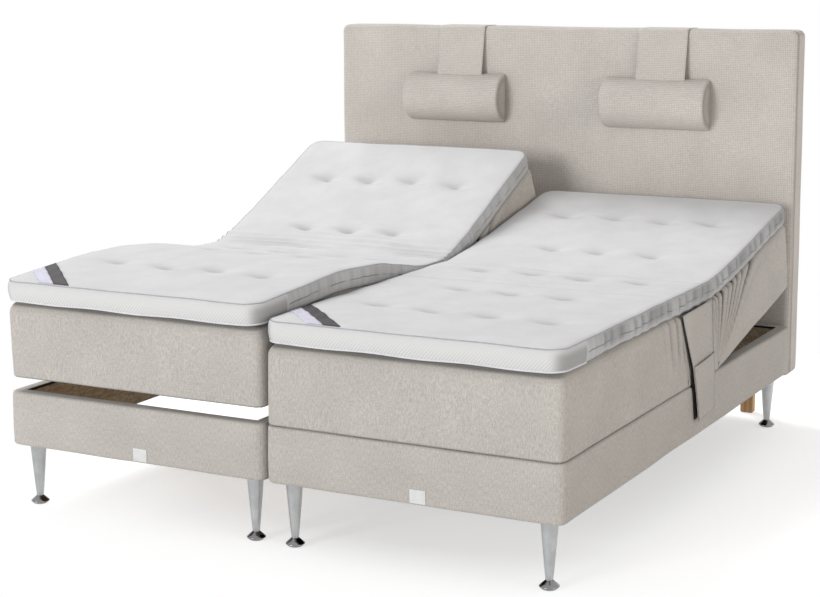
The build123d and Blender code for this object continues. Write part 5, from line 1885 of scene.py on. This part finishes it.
# ------------------------------------------------------------------ handset pocket
@dataclass
class HandsetPocket:
    """The open cloth pocket that hangs beside the seat of one unit."""

    shop: Workshop
    line: BendLine
    levels: tuple[float, ...] = (0.5905, 0.500, 0.420, 0.330, 0.246)
    front_edge: tuple[float, ...] = (0.866, 0.912, 0.952, 0.975, 0.988)
    rear_edge: tuple[float, ...] = (1.132, 1.141, 1.149, 1.153, 1.156)
    mouth: float = 0.420
    rise: float = 0.010
    # distance from the bed's side to the dark sheet of painted shade
    shade_sheet_gap: float = 0.0052
    half_width: float = UNIT_HALF_WIDTH
    cloth: float = 0.0022

    def edges(self, z: float) -> tuple[float, float]:
        """Give the front and rear edges at a height."""
        levels = self.levels[::-1]
        front, rear = (float(np.interp(z, levels, edge[::-1])) for edge in (self.front_edge, self.rear_edge))
        return front, rear

    def hang(self, u: float, z: float) -> float:
        """Give how far the hanging panel stands off the side of the bed.

        Args:
            u: share of the way from the front edge to the rear edge.
            z: height above the floor.

        Returns:
            The distance from the side.
        """
        drop = max((self.levels[0] - z) / (self.levels[0] - self.levels[-1]), 0.0)
        sway = 0.0010 * math.sin(u * 6 + drop * 4) * drop
        return 0.0068 + drop**1.6 * (0.0115 * (1 - u) ** 1.5) + 0.0016 * drop + sway

    def grid(self, name: str, low: float, high: float, stand: Callable[[float, float, float], float], tilt: float,
             finish: Material | None = None) -> Piece:
        """Make one sheet of cloth between two heights.

        Args:
            name: the piece's name.
            low: height of its lower edge.
            high: height of its upper edge.
            stand: distance from the bed's side, for shares along and up the sheet and a height.
            tilt: how much higher the upper edge is at the rear.
            finish: its cloth, or None for the cloth of the boxes.

        Returns:
            The mesh object.
        """
        sign, places, cloth, rear_edge_shade = self.line.side.outward, [], [], []
        x0, tall, wide = self.line.centre + sign * self.half_width, 34, 28
        for v in np.linspace(0, 1, tall):
            for u in np.linspace(0, 1, wide):
                z = low + (high - low + tilt * u) * v
                front, rear = self.edges(z)
                y = front + (rear - front) * u
                places.append((x0 + sign * stand(float(u), float(v), z), y + self.line.shift, z))
                cloth.append((0.0, y, z))
                # painted shade along the sheet's rear edge
                rear_edge_shade.append(0.75 * math.exp(-(1 - u) / 0.025))
        faces = quads(np.arange(tall * wide).reshape(tall, wide))
        piece = mesh_object(name, np.array(places), faces)
        dress(piece, np.array(cloth), finish or self.shop.finishes.base)
        crease(piece, np.array(rear_edge_shade))
        thicken(piece, self.cloth)
        self.shop.settle(piece, "strap_fabric", None, "base")
        return piece

    def bag_stand(self, u: float, v: float, z: float) -> float:
        """Give how far the bag stands off, bellied in its middle and sewn at its sides and bottom."""
        edge = min(min(u, 1 - u) / 0.5, 1.0)
        belly = math.sin(math.pi * edge / 2) ** 0.6 * min(1.0, v / 0.08) ** 0.5
        return self.hang(u, z) + 0.0026 + 0.0062 * belly * (0.6 + 0.4 * v)

    def make(self) -> None:
        """Build and settle the hanging strap and the bag."""
        side, sign, low, high = self.line.side.value, self.line.side.outward, self.levels[-1], self.levels[0]
        panel = self.grid(f"{side}_pocket_panel", low, high, lambda u, v, z: self.hang(u, z), 0.007)
        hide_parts(f"{side}_handset_pocket")
        # A dark sheet of painted shade behind the panel, so that the gap between panel and box reads as shadow.
        self.grid(f"{side}_pocket_shade_sheet", low + 0.004, high - 0.001, lambda u, v, z: self.shade_sheet_gap, 0.0,
                  self.shop.finishes.lining_and_shade_sheet)
        self.grid(f"{side}_pocket_bag", low + 0.002, self.mouth, self.bag_stand, self.rise)
        hem = []
        for u in np.linspace(0.03, 0.97, 34):
            z = self.mouth + self.rise * u - 0.011
            front, rear = self.edges(z)
            hem.append((self.line.centre + sign * (self.half_width + self.bag_stand(float(u), 0.95, z) + 0.0012),
                        front + (rear - front) * u + self.line.shift, z))
        stitches = self.shop.stitches.sew(f"{side}_pocket_hem_stitches", [np.array(hem)], 0.006, 0.0011,
                                          self.shop.finishes.thread)
        self.shop.settle(stitches, "strap_fabric", None, "base")


# ------------------------------------------------------------------ stage
@dataclass
class Studio:
    """Floor, lamps and camera."""

    lens: float = 80.736585
    shift: float = -0.0640244
    azimuth: float = 28.08
    elevation: float = 8.995
    roll: float = -0.287
    place: tuple[float, float, float] = (2.703, -4.194, 1.644)
    foot_shift: float = -1.057158
    floor_centre: tuple[float, float, float] = (0.25, 0.35, 0.0)
    floor_fade: tuple[float, float] = (1.2, 1.8)

    def floor(self) -> None:
        """Lay a pale floor that goes white where no shadow falls."""
        size, sunk = 30.0, -0.0002
        corners = np.array([(-size, -size, sunk), (size, -size, sunk), (size, size, sunk), (-size, size, sunk)])
        piece = mesh_object("studio_floor", corners, np.array([(0, 1, 2, 3)]))
        bench = NodeBench("studio_floor")
        bench.tree.nodes.remove(bench.shader)
        matt = bench.add("ShaderNodeBsdfDiffuse", {"Color": (0.88, 0.88, 0.88, 1.0)}).outputs[0]
        glow = bench.add("ShaderNodeEmission", {"Strength": 0.54}).outputs[0]
        white = bench.add("ShaderNodeEmission", {"Strength": 1.0}).outputs[0]
        both = bench.add("ShaderNodeAddShader", {0: matt, 1: glow}).outputs[0]
        path = bench.add("ShaderNodeLightPath").outputs
        mirrored = bench.math("MAXIMUM", path["Is Camera Ray"], path["Is Glossy Ray"])
        seen = bench.math("MAXIMUM", mirrored, path["Is Transmission Ray"])
        spot = {0: bench.add("ShaderNodeTexCoord").outputs["Object"], 1: self.floor_centre}
        place = bench.add("ShaderNodeVectorMath", spot, operation="SUBTRACT").outputs[0]
        reach = bench.add("ShaderNodeVectorMath", {0: place}, operation="LENGTH").outputs["Value"]
        fading = {0: bench.level(reach, *self.floor_fade), 1: both, 2: white}
        clear = bench.add("ShaderNodeMixShader", fading).outputs[0]
        chosen = bench.add("ShaderNodeMixShader", {0: seen, 1: matt, 2: clear}).outputs[0]
        bench.link(chosen, bench.output.inputs[0])
        piece.data.materials.append(bench.material)

    def world(self) -> None:
        """Set an even pale surround, which is plain white where it is seen."""
        world = bpy.data.worlds.new("studio")
        bpy.context.scene.world = world
        world.use_nodes = True
        tree = world.node_tree
        tree.nodes.clear()
        soft, white, path, mix, output, first, both = (tree.nodes.new(f"ShaderNode{kind}") for kind in (
            "Background", "Background", "LightPath", "MixShader", "OutputWorld", "Math", "Math"))
        soft.inputs[0].default_value, soft.inputs[1].default_value = (0.99, 0.99, 1.0, 1.0), 0.42
        white.inputs[0].default_value, white.inputs[1].default_value = (1.0, 1.0, 1.0, 1.0), 1.0
        first.operation = both.operation = "MAXIMUM"
        for source, target in (
            (path.outputs["Is Camera Ray"], first.inputs[0]), (path.outputs["Is Glossy Ray"], first.inputs[1]),
            (first.outputs[0], both.inputs[0]), (path.outputs["Is Transmission Ray"], both.inputs[1]),
            (both.outputs[0], mix.inputs[0]), (soft.outputs[0], mix.inputs[1]),
            (white.outputs[0], mix.inputs[2]), (mix.outputs[0], output.inputs[0]),
        ):
            tree.links.new(source, target)

    def lamp(self, name: str, place: Sequence[float], target: Sequence[float], size: float, watts: float,
             tint: Sequence[float] = (1.0, 1.0, 1.0)) -> None:
        """Hang one soft square lamp.

        Args:
            name: the lamp's name.
            place: where it hangs.
            target: what it points at.
            size: its side length.
            watts: its power.
            tint: its colour.
        """
        data = bpy.data.lights.new(name, "AREA")
        data.size, data.energy, data.color = size, watts, tint
        lamp = shown(name, data)
        lamp.location = place
        lamp.rotation_euler = (Vector(target) - Vector(place)).to_track_quat("-Z", "Y").to_euler()

    def camera(self) -> None:
        """Set the camera at the viewing angle of a full catalogue view."""
        data = bpy.data.cameras.new("camera")
        data.sensor_width, data.lens, data.shift_y, data.clip_end = 36.0, self.lens, self.shift, 100.0
        camera = shown("camera", data)
        a, e = math.radians(self.azimuth), math.radians(self.elevation)
        back = Vector((math.sin(a) * math.cos(e), -math.cos(a) * math.cos(e), math.sin(e)))
        turn = (-back).to_track_quat("-Z", "Y").to_matrix() @ Matrix.Rotation(math.radians(self.roll), 3, "Z")
        place = Vector(self.place) + Vector((0, self.foot_shift, 0))
        camera.matrix_world = Matrix.Translation(place) @ turn.to_4x4()
        bpy.context.scene.camera = camera

    def make(self) -> None:
        """Set up the whole stage."""
        self.floor()
        self.world()
        self.lamp("key", (-6.2, 4.8, 9.3), (0.0, 0.0, 0.4), 5.0, 850.0)
        self.lamp("front", (-9.0, -28.6, 6.0), (0.0, 0.0, 0.6), 10.0, 3950.0)
        self.lamp("right", (12.0, -3.0, 1.8), (0.0, 0.0, 0.6), 6.0, 345.0, (1.0, 0.91, 0.82))
        self.camera()
        bpy.context.scene.view_settings.view_transform = "Standard"


def dress_frame(finishes: Finishes) -> None:
    """Give the CAD nodes that stay in view their finishes.

    Args:
        finishes: the bed's finishes.
    """
    endings = finishes.carried()
    for name, node in frame["nodes"].items():
        if node.hide_render:
            continue
        finish = endings.get(name) or next((m for key, m in endings.items() if name.endswith(key)), None)
        if finish is None:
            LOG.warning("%s keeps its plain finish", name)
            continue
        if not node.material_slots:
            node.data.materials.append(finish)
        for slot in node.material_slots:
            slot.material = finish


def main() -> None:
    """Build every sub-assembly and report it."""
    logging.basicConfig(level=logging.INFO, format="%(message)s")
    finishes = Finishes()
    shop = Workshop(finishes, TubeAlongPath(), StitchRow())
    Studio().make()
    for side in Side:
        line = BendLine(side)
        LowerFrame(shop, line).make()
        PaddedBox(shop, line).make()
        Topper(shop, line).make()
        HandsetPocket(shop, line).make()
    Feet(shop).make()
    Headboard(shop).make()
    for side in Side:
        NeckCushion(shop, side).make()
    dress_frame(finishes)


if __name__ == "__main__":
    main()
